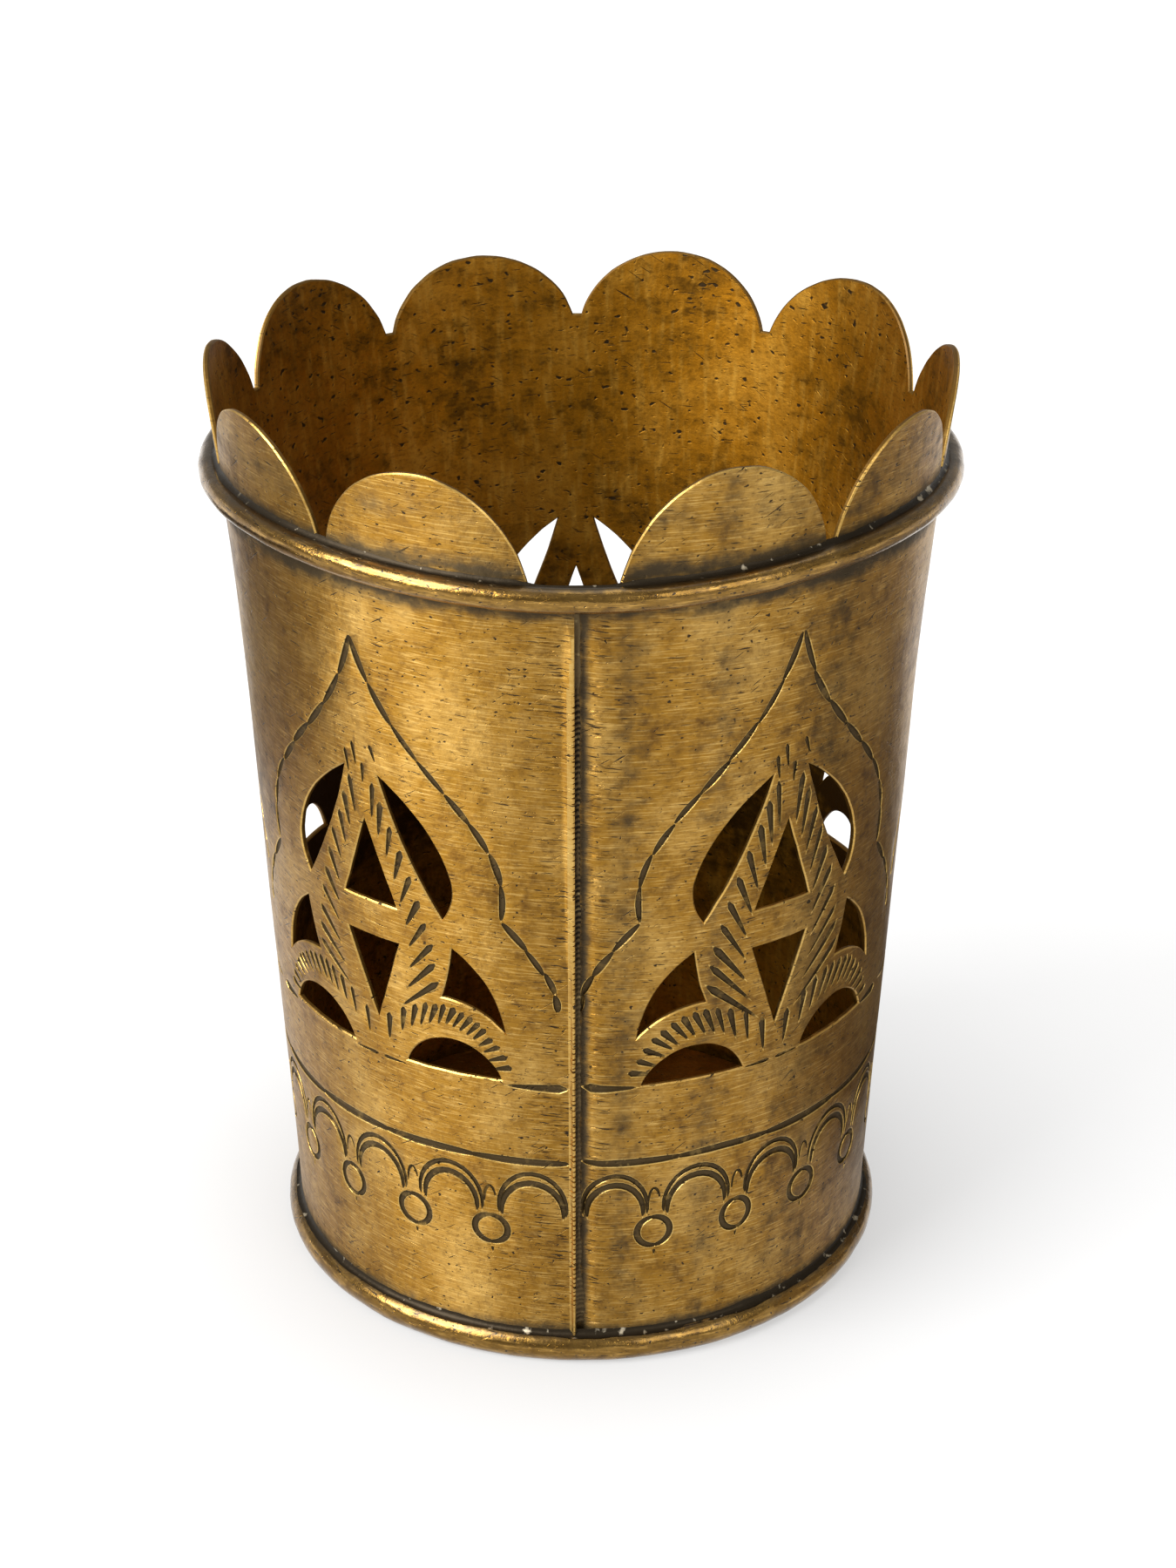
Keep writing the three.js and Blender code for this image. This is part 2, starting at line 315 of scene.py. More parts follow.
@dataclass(frozen=True)
class AgedBrass:
    """Brass that was filed and brushed by hand and has darkened with age.

    Cloudy brown tarnish lies on a golden ground, with fine scratches along the brushing, small dark
    pits, and a grey-brown layer along given lines: dirt and patina on some finishes, painted shade
    on others. The brushing runs round the cup, so light spreads up and down it. The map of the flat
    sheet gives its millimetres. The brushing and the pits are drawn coarser than a wire brush and
    time leave them, or they wouldn't show.
    """

    name: str
    ground: str = "#986e22"
    bright: str = "#dab468"
    tarnish: str = "#654415"
    # Colour of dirt and patina, and of painted shade on finishes that lay it.
    patina_and_shade: str = "#53452f"
    pit: str = "#352817"
    tarnish_share: float = 0.46
    wax: float = 0.15
    wax_roughness: float = 0.35
    buffed: float = 0.45
    worn: float = 0.8
    sunk: float = 0.6
    cloud_size: float = 13.0
    mottle_size: float = 2.0
    grain_size: float = 0.55
    brush_length: float = 3.2
    brush_width: float = 0.17
    brush_turn: float = 1.5
    scratch_share: float = 0.5
    scratch_size: Point = (2.2, 0.22)
    scratch_turn: float = 4.0
    stray_size: Point = (3.5, 0.24)
    stray_turn: float = -32.0
    patch_size: Point = (7.0, 9.0)
    pit_size: float = 0.5
    pit_share: float = 0.5
    darkening_size: Point = (6.0, 2.5)
    # Lines of dirt, and of painted shade on finishes that lay it.
    dirt_and_shade_lines: tuple[SheetLine, ...] = (SheetLine("Y", 0.0, 60.0, 0.6),)
    combed: tuple[SheetLine, ...] = ()
    comb_strength: float = 0.07
    roughness: float = 0.36
    roughness_spread: float = 0.12
    dirt_roughness: float = 0.22
    brushed: float = 0.85
    dent_depth: float = 0.1
    grain_depth: float = 0.008
    brush_depth: float = 0.004
    pit_depth: float = 0.06

    # The shares of noise between which each layer comes in, and how the noise is made up
    NOISE_ROUGHNESS = 0.62
    ROUGH_SPAN = (0.3, 0.7)
    DIRT_AND_SHADE_SPAN = (0.3, 0.85)
    WORN_SPAN = (0.5, 0.75)
    SUNK_SPAN = (0.5, 0.25)
    BUFFED_SPAN = (0.52, 0.3)
    TARNISH_SPAN = (1.5, 1.95)
    TARNISH_PULL = 0.5
    GRAIN_PULL = 0.6
    CLOUD_NARROWING = 0.8
    GRAIN_STRETCH = 1.6
    PIT_STRETCH = 1.3
    PIT_BAR = 0.75
    SCRATCH_BAR = 0.75
    STRAY_BAR = 0.78
    BAR_WIDTH = 0.07
    PATCH_PULL = 0.3
    PIT_BUMP = 0.8
    QUARTER_TURN = 0.25

    def build(self) -> Material:
        """Builds the material.

        Returns:
            The new material.
        """
        material, tree = new_tree(self.name)
        sheet = add_node(tree, "UVMap", uv_map="sheet")
        place = add_node(tree, "VectorMath", {
            0: sheet.outputs["UV"],
            1: (MAP_UNIT, MAP_UNIT, 0.0),
        }, operation="MULTIPLY").outputs["Vector"]
        brush = self.pattern(tree, place, self.brush_length, self.brush_width, detail=2.0,
                             turn=self.brush_turn)
        mottle = self.pattern(tree, place, self.mottle_size, self.mottle_size, detail=4.0)
        grain = self.pattern(tree, place, self.grain_size * self.GRAIN_STRETCH, self.grain_size,
                             detail=2.0)
        pits, dirt_and_shade = self.pits(tree, place), self.dirt_and_shade(tree, place, mottle)
        colour = self.colour(tree, place, Marks(brush, mottle, grain, pits, dirt_and_shade))
        rough = add_node(tree, "MapRange", {
            "Value": mottle,
            "From Min": self.ROUGH_SPAN[0],
            "From Max": self.ROUGH_SPAN[1],
            "To Min": self.roughness,
            "To Max": self.roughness + self.roughness_spread,
        })
        dull = add_node(tree, "Math", {
            0: dirt_and_shade,
            1: self.dirt_roughness,
            2: rough.outputs["Result"],
        }, operation="MULTIPLY_ADD")
        relief: dict[str | int, object] = {}
        for height, depth, strength, sunk in (
            (mottle, self.dent_depth, 1.0, False),
            (grain, self.grain_depth, 1.0, False),
            (brush, self.brush_depth, 1.0, False),
            (pits, self.pit_depth, self.PIT_BUMP, True),
        ):
            bump = add_node(tree, "Bump", {
                "Strength": strength,
                "Distance": depth * MM,
                "Height": height,
                **relief,
            }, invert=sunk)
            relief = {"Normal": bump.outputs["Normal"]}
        along = add_node(tree, "Tangent", direction_type="UV_MAP", uv_map="sheet")
        shader = add_node(tree, "BsdfPrincipled", {
            "Base Color": colour,
            "Metallic": 1.0,
            "Roughness": dull.outputs["Value"],
            "Anisotropic": self.brushed,
            "Anisotropic Rotation": self.QUARTER_TURN,
            "Tangent": along.outputs["Tangent"],
            "Coat Weight": self.wax,
            "Coat Roughness": self.wax_roughness,
            **relief,
        })
        add_node(tree, "OutputMaterial", {"Surface": shader.outputs["BSDF"]})
        return material

    def pattern(self, tree: Tree, place: Socket, across: float, up: float, detail: float,
                turn: float = 0.0) -> Socket:
        """Lays noise on the sheet.

        Args:
            tree: the material's node tree.
            place: the place on the sheet in millimetres.
            across: the pattern's size across, in millimetres.
            up: the pattern's size up, in millimetres.
            detail: how many finer layers it has.
            turn: how far the pattern is turned, in degrees.

        Returns:
            The noise, about 0.5 on average.
        """
        turned = add_node(tree, "VectorRotate", {"Vector": place, "Angle": math.radians(turn)},
                          rotation_type="Z_AXIS")
        sized = add_node(tree, "VectorMath", {
            0: turned.outputs["Vector"],
            1: (1 / across, 1 / up, 1.0),
        }, operation="MULTIPLY")
        cloud = add_node(tree, "TexNoise", {
            "Vector": sized.outputs["Vector"],
            "Scale": 1.0,
            "Detail": detail,
            "Roughness": self.NOISE_ROUGHNESS,
        })
        return cloud.outputs["Fac"]

    def pits(self, tree: Tree, place: Socket) -> Socket:
        """Scatters pits and short scratches in patches, and combs the sheet where a file went.

        Args:
            tree: the material's node tree.
            place: the place on the sheet in millimetres.

        Returns:
            How deep the pit or scratch is, from 0 to 1.
        """
        patches = self.pattern(tree, place, *self.patch_size, detail=2.0)
        grains = self.pattern(tree, place, self.pit_size * self.PIT_STRETCH, self.pit_size,
                              detail=1.0)
        lines = self.pattern(tree, place, *self.scratch_size, detail=1.0, turn=self.scratch_turn)
        strays = self.pattern(tree, place, *self.stray_size, detail=1.0, turn=self.stray_turn)
        for line in self.combed:
            lines = add_node(tree, "Math", {
                0: self.near(tree, place, line),
                1: self.comb_strength,
                2: lines,
            }, operation="MULTIPLY_ADD").outputs["Value"]
        hits = []
        for marks, share, bar in (
            (grains, self.pit_share, self.PIT_BAR),
            (lines, self.scratch_share, self.SCRATCH_BAR),
            (strays, self.scratch_share, self.STRAY_BAR),
        ):
            often = add_node(tree, "Math", {0: patches, 1: self.PATCH_PULL * share, 2: marks},
                             operation="MULTIPLY_ADD")
            hit = add_node(tree, "MapRange", {
                "Value": often.outputs["Value"],
                "From Min": bar,
                "From Max": bar + self.BAR_WIDTH,
            })
            hits.append(hit.outputs["Result"])
        return self.most(tree, hits)

    def most(self, tree: Tree, layers: Sequence[Socket]) -> Socket:
        """Keeps the strongest of some layers at each place.

        Args:
            tree: the material's node tree.
            layers: the layers, one or more.

        Returns:
            The strongest.
        """
        strongest = layers[0]
        for layer in layers[1:]:
            larger = add_node(tree, "Math", {0: strongest, 1: layer}, operation="MAXIMUM")
            strongest = larger.outputs["Value"]
        return strongest

    def dirt_and_shade(self, tree: Tree, place: Socket, mottle: Socket) -> Socket:
        """Lays dirt and painted shade along the finish's lines, with a broken edge.

        Args:
            tree: the material's node tree.
            place: the place on the sheet in millimetres.
            mottle: the fine noise that breaks the edge.

        Returns:
            How thick the dirt and painted shade are, from 0 to 1.
        """
        wide = self.pattern(tree, place, *self.darkening_size, detail=3.0)
        broken = add_node(tree, "Math", {0: wide, 1: mottle}, operation="ADD").outputs["Value"]
        layers = [
            add_node(tree, "Math", {0: self.near(tree, place, line), 1: broken},
                     operation="MULTIPLY").outputs["Value"]
            for line in self.dirt_and_shade_lines
        ]
        darkness = add_node(tree, "MapRange", {
            "Value": self.most(tree, layers),
            "From Min": self.DIRT_AND_SHADE_SPAN[0],
            "From Max": self.DIRT_AND_SHADE_SPAN[1],
        }, interpolation_type="SMOOTHSTEP")
        return darkness.outputs["Result"]

    def near(self, tree: Tree, place: Socket, line: SheetLine) -> Socket:
        """Tells how near a place is to a line on the sheet.

        Args:
            tree: the material's node tree.
            place: the place on the sheet in millimetres.
            line: the line and its reach.

        Returns:
            The line's thickness on it, down to 0 at its reach.
        """
        axes = add_node(tree, "SeparateXYZ", {"Vector": place})
        off = add_node(tree, "Math", {0: axes.outputs[line.axis], 1: line.place},
                       operation="SUBTRACT")
        away = add_node(tree, "Math", {0: off.outputs["Value"]}, operation="ABSOLUTE")
        near = add_node(tree, "MapRange", {
            "Value": away.outputs["Value"],
            "From Min": line.reach,
            "From Max": 0.0,
            "To Max": line.thickness,
        })
        return near.outputs["Result"]

    def colour(self, tree: Tree, place: Socket, marks: Marks) -> Socket:
        """Mixes the colours of metal, tarnish, dirt and painted shade.

        Args:
            tree: the material's node tree.
            place: the place on the sheet in millimetres.
            marks: the patterns that the colours follow.

        Returns:
            The colour.
        """
        clouds = self.pattern(tree, place, self.cloud_size * self.CLOUD_NARROWING, self.cloud_size,
                              detail=5.0)
        blotch = add_node(tree, "Math", {0: clouds, 1: marks.mottle}, operation="ADD")
        blotch = add_node(tree, "Math", {
            0: marks.grain,
            1: self.GRAIN_PULL,
            2: blotch.outputs["Value"],
        }, operation="MULTIPLY_ADD")
        lowered = self.TARNISH_PULL * self.tarnish_share
        tarnished = add_node(tree, "MapRange", {
            "Value": blotch.outputs["Value"],
            "From Min": self.TARNISH_SPAN[0] - lowered,
            "From Max": self.TARNISH_SPAN[1] - lowered,
        }, interpolation_type="SMOOTHSTEP")
        layers = []
        for mark, span, share, coat in (
            (clouds, self.BUFFED_SPAN, self.buffed, self.bright),
            (marks.brush, self.WORN_SPAN, self.worn, self.bright),
            (marks.grain, self.SUNK_SPAN, self.sunk, self.tarnish),
        ):
            layer = add_node(tree, "MapRange", {
                "Value": mark,
                "From Min": span[0],
                "From Max": span[1],
                "To Max": share,
            })
            layers.append((layer.outputs["Result"], coat))
        layers += [
            (tarnished.outputs["Result"], self.tarnish),
            (marks.pits, self.pit),
            # The dirt layer in the patina colour; on some finishes it is painted shade.
            (marks.dirt_and_shade, self.patina_and_shade),
        ]
        shown = linear(self.ground)
        for share, coat in layers:
            shown = add_node(tree, "Mix", {0: share, 6: shown, 7: linear(coat)},
                             data_type="RGBA").outputs[2]
        return shown


@dataclass(frozen=True)
class ChasedBrass(AgedBrass):
    """Brass cut by a tool: burnished at the lips of the cut and dark with patina inside it."""

    lip: float = 0.035
    floor: float = 0.08
    dirt_share: float = 0.96
    dust: str = "#5f4f37"
    dust_from: float = 0.17
    dust_to: float = 0.25
    dust_share: float = 0.7

    RUBBED_SPAN = (0.85, 0.55)

    def colour(self, tree: Tree, place: Socket, marks: Marks) -> Socket:
        """Lays grey dust on the floor of the groove, over the colours of the metal.

        Args:
            tree: the material's node tree.
            place: the place on the sheet in millimetres.
            marks: the patterns that the colours follow.

        Returns:
            The colour.
        """
        metal = super().colour(tree, place, marks)
        depth = add_node(tree, "Attribute", attribute_name="depth")
        lying = add_node(tree, "MapRange", {
            "Value": depth.outputs["Fac"],
            "From Min": self.dust_from,
            "From Max": self.dust_to,
            "To Max": self.dust_share,
        })
        shown = add_node(tree, "Mix", {
            0: lying.outputs["Result"],
            6: metal,
            7: linear(self.dust),
        }, data_type="RGBA")
        return shown.outputs[2]

    def dirt_and_shade(self, tree: Tree, place: Socket, mottle: Socket) -> Socket:
        """Settles dirt in the depth of the groove.

        Args:
            tree: the material's node tree.
            place: the place on the sheet in millimetres; not used here.
            mottle: the fine noise that rubs the dirt away again.

        Returns:
            How thick the dirt is, from 0 to 1.
        """
        depth = add_node(tree, "Attribute", attribute_name="depth")
        darkness = add_node(tree, "MapRange", {
            "Value": depth.outputs["Fac"],
            "From Min": self.lip,
            "From Max": self.floor,
            "To Max": self.dirt_share,
        }, interpolation_type="SMOOTHSTEP")
        rubbed = add_node(tree, "MapRange", {
            "Value": mottle,
            "From Min": self.RUBBED_SPAN[0],
            "From Max": self.RUBBED_SPAN[1],
        })
        kept = add_node(tree, "Math", {
            0: darkness.outputs["Result"],
            1: rubbed.outputs["Result"],
        }, operation="MULTIPLY")
        return kept.outputs["Value"]


@dataclass(frozen=True)
class SoftSolder:
    """Lead and tin solder, run in by hand.

    It is dull and dark under its skin, with bright spots where it was rubbed bare and black notches
    where the file cut it.
    """

    name: str
    skin: str = "#2c2418"
    metal: str = "#b3a78f"
    notch: str = "#1c140b"
    grain: float = 1.1
    bare_from: float = 0.62
    bare_spread: float = 0.08
    metallic: float = 0.85
    roughness: float = 0.45
    lump_depth: float = 0.08
    lump_bump: float = 0.7

    def build(self) -> Material:
        """Builds the material.

        Returns:
            The new material.
        """
        material, tree = new_tree(self.name)
        place = add_node(tree, "TexCoord").outputs["Object"]
        clots = add_node(tree, "TexNoise", {
            "Vector": place,
            "Scale": 1 / (self.grain * MM),
            "Detail": 4.0,
        })
        bared = add_node(tree, "MapRange", {
            "Value": clots.outputs["Fac"],
            "From Min": self.bare_from,
            "From Max": self.bare_from + self.bare_spread,
        })
        colour = add_node(tree, "Mix", {
            0: bared.outputs["Result"],
            6: linear(self.skin),
            7: linear(self.metal),
        }, data_type="RGBA")
        notch = add_node(tree, "Attribute", attribute_name="notch")
        shown = add_node(tree, "Mix", {
            0: notch.outputs["Fac"],
            6: colour.outputs[2],
            7: linear(self.notch),
        }, data_type="RGBA")
        bump = add_node(tree, "Bump", {
            "Strength": self.lump_bump,
            "Distance": self.lump_depth * MM,
            "Height": clots.outputs["Fac"],
        })
        shader = add_node(tree, "BsdfPrincipled", {
            "Base Color": shown.outputs[2],
            "Metallic": self.metallic,
            "Roughness": self.roughness,
            "Normal": bump.outputs["Normal"],
        })
        add_node(tree, "OutputMaterial", {"Surface": shader.outputs["BSDF"]})
        return material


@dataclass(frozen=True)
class WhitePaper:
    """Matt white paper, lit and glowing to full white, with painted shade round the holder where
    its glow drops, and which takes a soft shadow.

    Its grain is drawn far coarser than that of paper, or it wouldn't show.
    """

    name: str
    colour: str = "#868686"
    light: str = "#ffffff"
    glow: float = 0.96
    # How far the glow drops near the holder: a painted shade round it.
    drop: float = 14.0
    grain_size: float = 8.93
    grain_bump: float = 0.05
    roughness: float = 0.95

    def build(self) -> Material:
        """Builds the material.

        Returns:
            The new material.
        """
        material, tree = new_tree(self.name)
        place = add_node(tree, "TexCoord").outputs["Object"]
        grain = add_node(tree, "TexNoise", {
            "Vector": place,
            "Scale": 1 / (self.grain_size * MM),
            "Detail": 2.0,
        })
        bump = add_node(tree, "Bump", {
            "Strength": self.grain_bump,
            "Height": grain.outputs["Fac"],
        })
        seen = seen_rays(tree)
        away = add_node(tree, "VectorMath", {0: place}, operation="LENGTH").outputs["Value"]
        # Painted shade: the glow falls off near the holder, as its shadow would make it.
        painted_shade = add_node(tree, "Math", {0: self.drop * MM, 1: away}, operation="DIVIDE")
        level = add_node(tree, "Math", {0: self.glow, 1: painted_shade.outputs["Value"]},
                         operation="SUBTRACT", use_clamp=True)
        glow = add_node(tree, "Math", {0: seen, 1: level.outputs["Value"]}, operation="MULTIPLY")
        shader = add_node(tree, "BsdfPrincipled", {
            "Base Color": linear(self.colour),
            "Roughness": self.roughness,
            "Specular IOR Level": 0.0,
            "Normal": bump.outputs["Normal"],
            "Emission Color": linear(self.light),
            "Emission Strength": glow.outputs["Value"],
        })
        add_node(tree, "OutputMaterial", {"Surface": shader.outputs["BSDF"]})
        return material


@dataclass(frozen=True)
class GreyCard:
    """Grey card, shaded from foot to head, which takes light away from the metal's sides."""

    name: str
    low: str
    high: str
    weave_scale: float = 40.0
    weave_depth: float = 0.1
    fade: Point = (-0.3, 0.4)

    def build(self) -> Material:
        """Builds the material.

        Returns:
            The new material.
        """
        material, tree = new_tree(self.name)
        place = add_node(tree, "TexCoord").outputs["Object"]
        weave = add_node(tree, "TexNoise", {"Vector": place, "Scale": self.weave_scale})
        up = add_node(tree, "SeparateXYZ", {"Vector": place}).outputs["Y"]
        height = add_node(tree, "Math", {
            0: weave.outputs["Fac"],
            1: self.weave_depth,
            2: up,
        }, operation="MULTIPLY_ADD")
        share = add_node(tree, "MapRange", {
            "Value": height.outputs["Value"],
            "From Min": self.fade[0],
            "From Max": self.fade[1],
        }, interpolation_type="SMOOTHSTEP")
        shade = add_node(tree, "Mix", {
            0: share.outputs["Result"],
            6: linear(self.low),
            7: linear(self.high),
        }, data_type="RGBA")
        shader = add_node(tree, "BsdfDiffuse", {"Color": shade.outputs[2]})
        add_node(tree, "OutputMaterial", {"Surface": shader.outputs["BSDF"]})
        return material


# Forms


@dataclass(frozen=True)
class CupForm:
    """What every piece keeps to: the wall's outer face, its lap and the lines of its rings."""

    height: float = 99.2
    foot_radius: float = 31.3
    shoulder_radius: float = 34.6
    flare_height: float = 34.2
    flare_out: float = 1.2
    sheet: float = 0.6
    lift: float = 0.3
    lap_angle: float = 7.0
    lap_gap: float = 0.12
    dip_angle: float = 5.0
    bead_z: float = 88.1
    bead_sag: float = 1.35
    bead_sag_angle: float = 60.0
    bead_solder_lift: float = 1.05
    foot_z: float = 1.45
    foot_solder_z: float = 2.9
    floor_z: float = 1.5
    floor_solder_z: float = 1.55
    floor_film: float = 0.02
    joint: float = 0.1
    uneven: float = 0.1
    uneven_size: float = 17.0
    uneven_sink: float = 0.5
    ripple: float = 0.2
    ripple_scale: float = 4.0
    foot_hold: Point = (3.0, 12.0)
    bead_hold: Point = (78.0, 86.0)
    bead_grip: float = 0.8

    def radius(self, z: float) -> float:
        """Gives the wall's outer radius at a height: a straight taper, then a gentle flare.

        Args:
            z: the height.

        Returns:
            The radius.
        """
        flare_start = self.height - self.flare_height
        taper = (self.shoulder_radius - self.foot_radius) / flare_start
        flare = max(0.0, z - flare_start) / self.flare_height
        return self.foot_radius + taper * z + self.flare_out * flare * flare

    def dip(self, angle: float) -> float:
        """Gives how deep the sheet's right end lies under its left end, at an angle."""
        return (self.sheet + self.lap_gap) * (1.0 - smoothstep(angle, 0.0, self.dip_angle))

    def sag(self, angle: float) -> float:
        """Gives how far the bead hangs towards the seam, at an angle."""
        turn = abs((angle + 180.0) % 360.0 - 180.0)
        return self.bead_sag * (1.0 - smoothstep(turn, 0.0, self.bead_sag_angle))

    def floor_corner(self) -> Point:
        """Gives the radius and the height of the corner under the floor, inside the wall."""
        return self.radius(self.floor_z) - self.sheet - self.floor_film, self.floor_solder_z

    def buckle(self, angle: float, z: float) -> float:
        """Gives the unevenness of a sheet rolled by hand, less at the rings that hold it true.

        Args:
            angle: the angle from the seam.
            z: the height.

        Returns:
            How far the wall stands out there.
        """
        turn = math.radians(angle)
        around = self.shoulder_radius / self.uneven_size
        loose = smoothstep(z, *self.foot_hold)
        loose *= 1.0 - self.bead_grip * smoothstep(z, *self.bead_hold)
        spot = Vector((around * math.cos(turn), around * math.sin(turn), z / self.uneven_size))
        dents = noise.noise(spot) - self.uneven_sink
        dents += self.ripple * noise.noise(spot * self.ripple_scale)
        return self.uneven * loose * dents

    def flat(self, angle: float, z: float) -> Point:
        """Gives the place on the flat sheet of an angle and a height."""
        return math.radians(angle) * self.shoulder_radius, z

    def beside(self, middle: float, across: float, z: float) -> Point:
        """Gives the place on the flat sheet of a point beside a middle line."""
        return self.flat(middle + math.degrees(across / self.radius(z)), z)

    def polar(self, angle: float, radius: float, z: float) -> Vector:
        """Gives the point in metres at an angle from the seam, a radius and a height."""
        turn = math.radians(angle)
        return Vector((radius * math.sin(turn), -radius * math.cos(turn), z)) * MM


@dataclass(frozen=True)
class Lobes:
    """The lobes along the top, cut by hand from a plain gap at the seam round to the same gap."""

    count: int = 10
    gap_angle: float = 11.3
    gap_depth: float = 11.8
    wide_lobe: int = 3
    wide_extra: float = 3.4
    depth_front: float = 10.6
    depth_back: float = 7.6
    trim: tuple[float, ...] = (0.7, 0.4, 0.7, 0.0, 0.4, 0.8, 0.1, 0.6, 0.7, 1.5)
    arc_half: float = 76.0
    notch_flat: float = 1.0
    steps: int = 40

    def outline(self, form: CupForm) -> list[Point]:
        """Draws the cut line on the flat sheet.

        Args:
            form: the cup's form.

        Returns:
            The points of the line, from left to right.
        """
        gap_top = form.height - self.gap_depth
        points = [form.flat(-2 * form.lap_angle, gap_top)]
        start = self.gap_angle / 2
        each = (360.0 - self.gap_angle - self.wide_extra) / self.count
        notch = math.degrees(self.notch_flat / form.radius(form.height))
        half = math.radians(self.arc_half)
        for lobe in range(self.count):
            width = each + (self.wide_extra if lobe == self.wide_lobe else 0.0)
            left = self.gap_depth if lobe == 0 else self.depth(start)
            right = self.gap_depth if lobe == self.count - 1 else self.depth(start + width)
            for step in range(self.steps + 1):
                turn = mix(-half, half, step / self.steps)
                across = math.sin(turn) / math.sin(half)
                drop = (1.0 - math.cos(turn)) / (1.0 - math.cos(half))
                angle = start + width / 2 + across * (width - notch) / 2
                top = form.height - mix(self.trim[lobe], left if across < 0 else right, drop)
                points.append(form.flat(angle, top))
            start += width
        points.append(form.flat(360.0 + form.lap_angle, gap_top))
        return points

    def depth(self, angle: float) -> float:
        """Gives the depth of a notch at an angle: a little deeper towards the seam."""
        frontness = (1.0 + math.cos(math.radians(angle))) / 2
        return mix(self.depth_back, self.depth_front, frontness)


@dataclass(frozen=True)
class Motif:
    """The pierced and chased motif of one arch: across from its middle, up from its base line."""

    base: float = 33.4
    king: Curve = ((-3.45, 17.7), (3.45, 17.7), (0.0, 27.0))
    keel: Curve = ((3.4, 13.6), (-3.4, 13.6), (0.0, 4.1))
    leaf: tuple[Curve, ...] = (
        ((2.1, 32.3), (4.6, 24.2), (9.0, 17.7)),
        ((9.0, 17.7), (10.6, 20.0), (10.2, 22.2)),
        ((10.2, 22.2), (8.8, 28.1), (2.1, 32.3)),
    )
    fin: tuple[Curve, ...] = (
        ((9.8, 14.6), (9.4, 11.6), (8.3, 8.7)),
        ((8.3, 8.7), (12.6, 8.7), (15.3, 5.6)),
        ((15.3, 5.6), (14.5, 11.7), (9.8, 14.6)),
    )
    moon_middle: float = 9.1
    moon_chord: float = 11.0
    moon_rise: float = 3.9
    curve_steps: int = 14
    arch: tuple[Curve, ...] = (
        ((0.0, 46.8), (3.9, 32.8), (17.8, 30.4), (15.4, 18.6)),
        ((15.4, 18.6), (21.3, 12.3), (20.9, 8.6)),
    )
    arch_strokes: tuple[int, ...] = (8, 4)
    bar_heads: Curve = ((1.5, 31.0), (7.9, 17.5), (7.8, 10.1))
    bar_tails: Curve = ((1.2, 28.0), (7.0, 15.4), (4.4, 7.2))
    bar_strokes: int = 10
    ray_heads: Curve = ((1.6, 4.9), (11.1, 12.1), (15.8, 1.6))
    ray_tails: Curve = ((1.4, 2.2), (10.1, 9.6), (14.0, 1.3))
    tips: tuple[Curve, ...] = (
        ((-0.9, 35.3), (-0.5, 32.4)),
        ((0.3, 33.2), (0.2, 30.7)),
        ((1.4, 35.4), (2.1, 33.4)),
        ((-1.9, 34.3), (-1.5, 31.4)),
    )

    def windows(self) -> list[list[Point]]:
        """Draws the eight windows, each counted anticlockwise.

        Returns:
            The points of each window, across and up.
        """
        outlines = [self.sides(self.king), self.sides(self.keel)]
        for curves in (self.leaf, self.fin):
            half = self.divided(curves)
            outlines.append(half)
            outlines.append([(-across, up) for across, up in reversed(half)])
        for side in (-1, 1):
            outlines.append(self.moon(side * self.moon_middle))
        return outlines

    def divided(self, curves: Sequence[Curve]) -> list[Point]:
        """Divides curves that follow each other, each without its last point."""
        steps = self.curve_steps
        return [bezier(curve, i / steps) for curve in curves for i in range(steps)]

    def sides(self, corners: Curve) -> list[Point]:
        """Divides the sides of a straight window, so that a hand-sawn edge can wander."""
        return self.divided(list(zip(corners, corners[1:] + corners[:1])))

    def moon(self, middle: float) -> list[Point]:
        """Draws a half-moon that stands on the base line.

        Args:
            middle: how far its middle is across.

        Returns:
            The points of its outline.
        """
        radius = (self.moon_chord ** 2 / 4 + self.moon_rise ** 2) / (2 * self.moon_rise)
        low = self.moon_rise - radius
        start = math.atan2(-low, self.moon_chord / 2)
        steps = 2 * self.curve_steps
        turns = [mix(start, math.pi - start, i / steps) for i in range(steps + 1)]
        arc = [(middle + radius * math.cos(t), low + radius * math.sin(t)) for t in turns]
        chord = self.divided([(arc[-1], arc[0])])
        return arc + chord[1:]


@dataclass(frozen=True)
class Hand:
    """How one arch was drawn by hand, against the pattern.

    It is set to one side by some degrees, higher, taller, with narrower or wider halves, with
    longer strokes, and with a number of rays over each half-moon.
    """

    shift: float = 0.0
    rise: float = 0.0
    stretch: float = 1.0
    left: float = 1.0
    right: float = 1.0
    reach: float = 1.3
    rays: int = 10


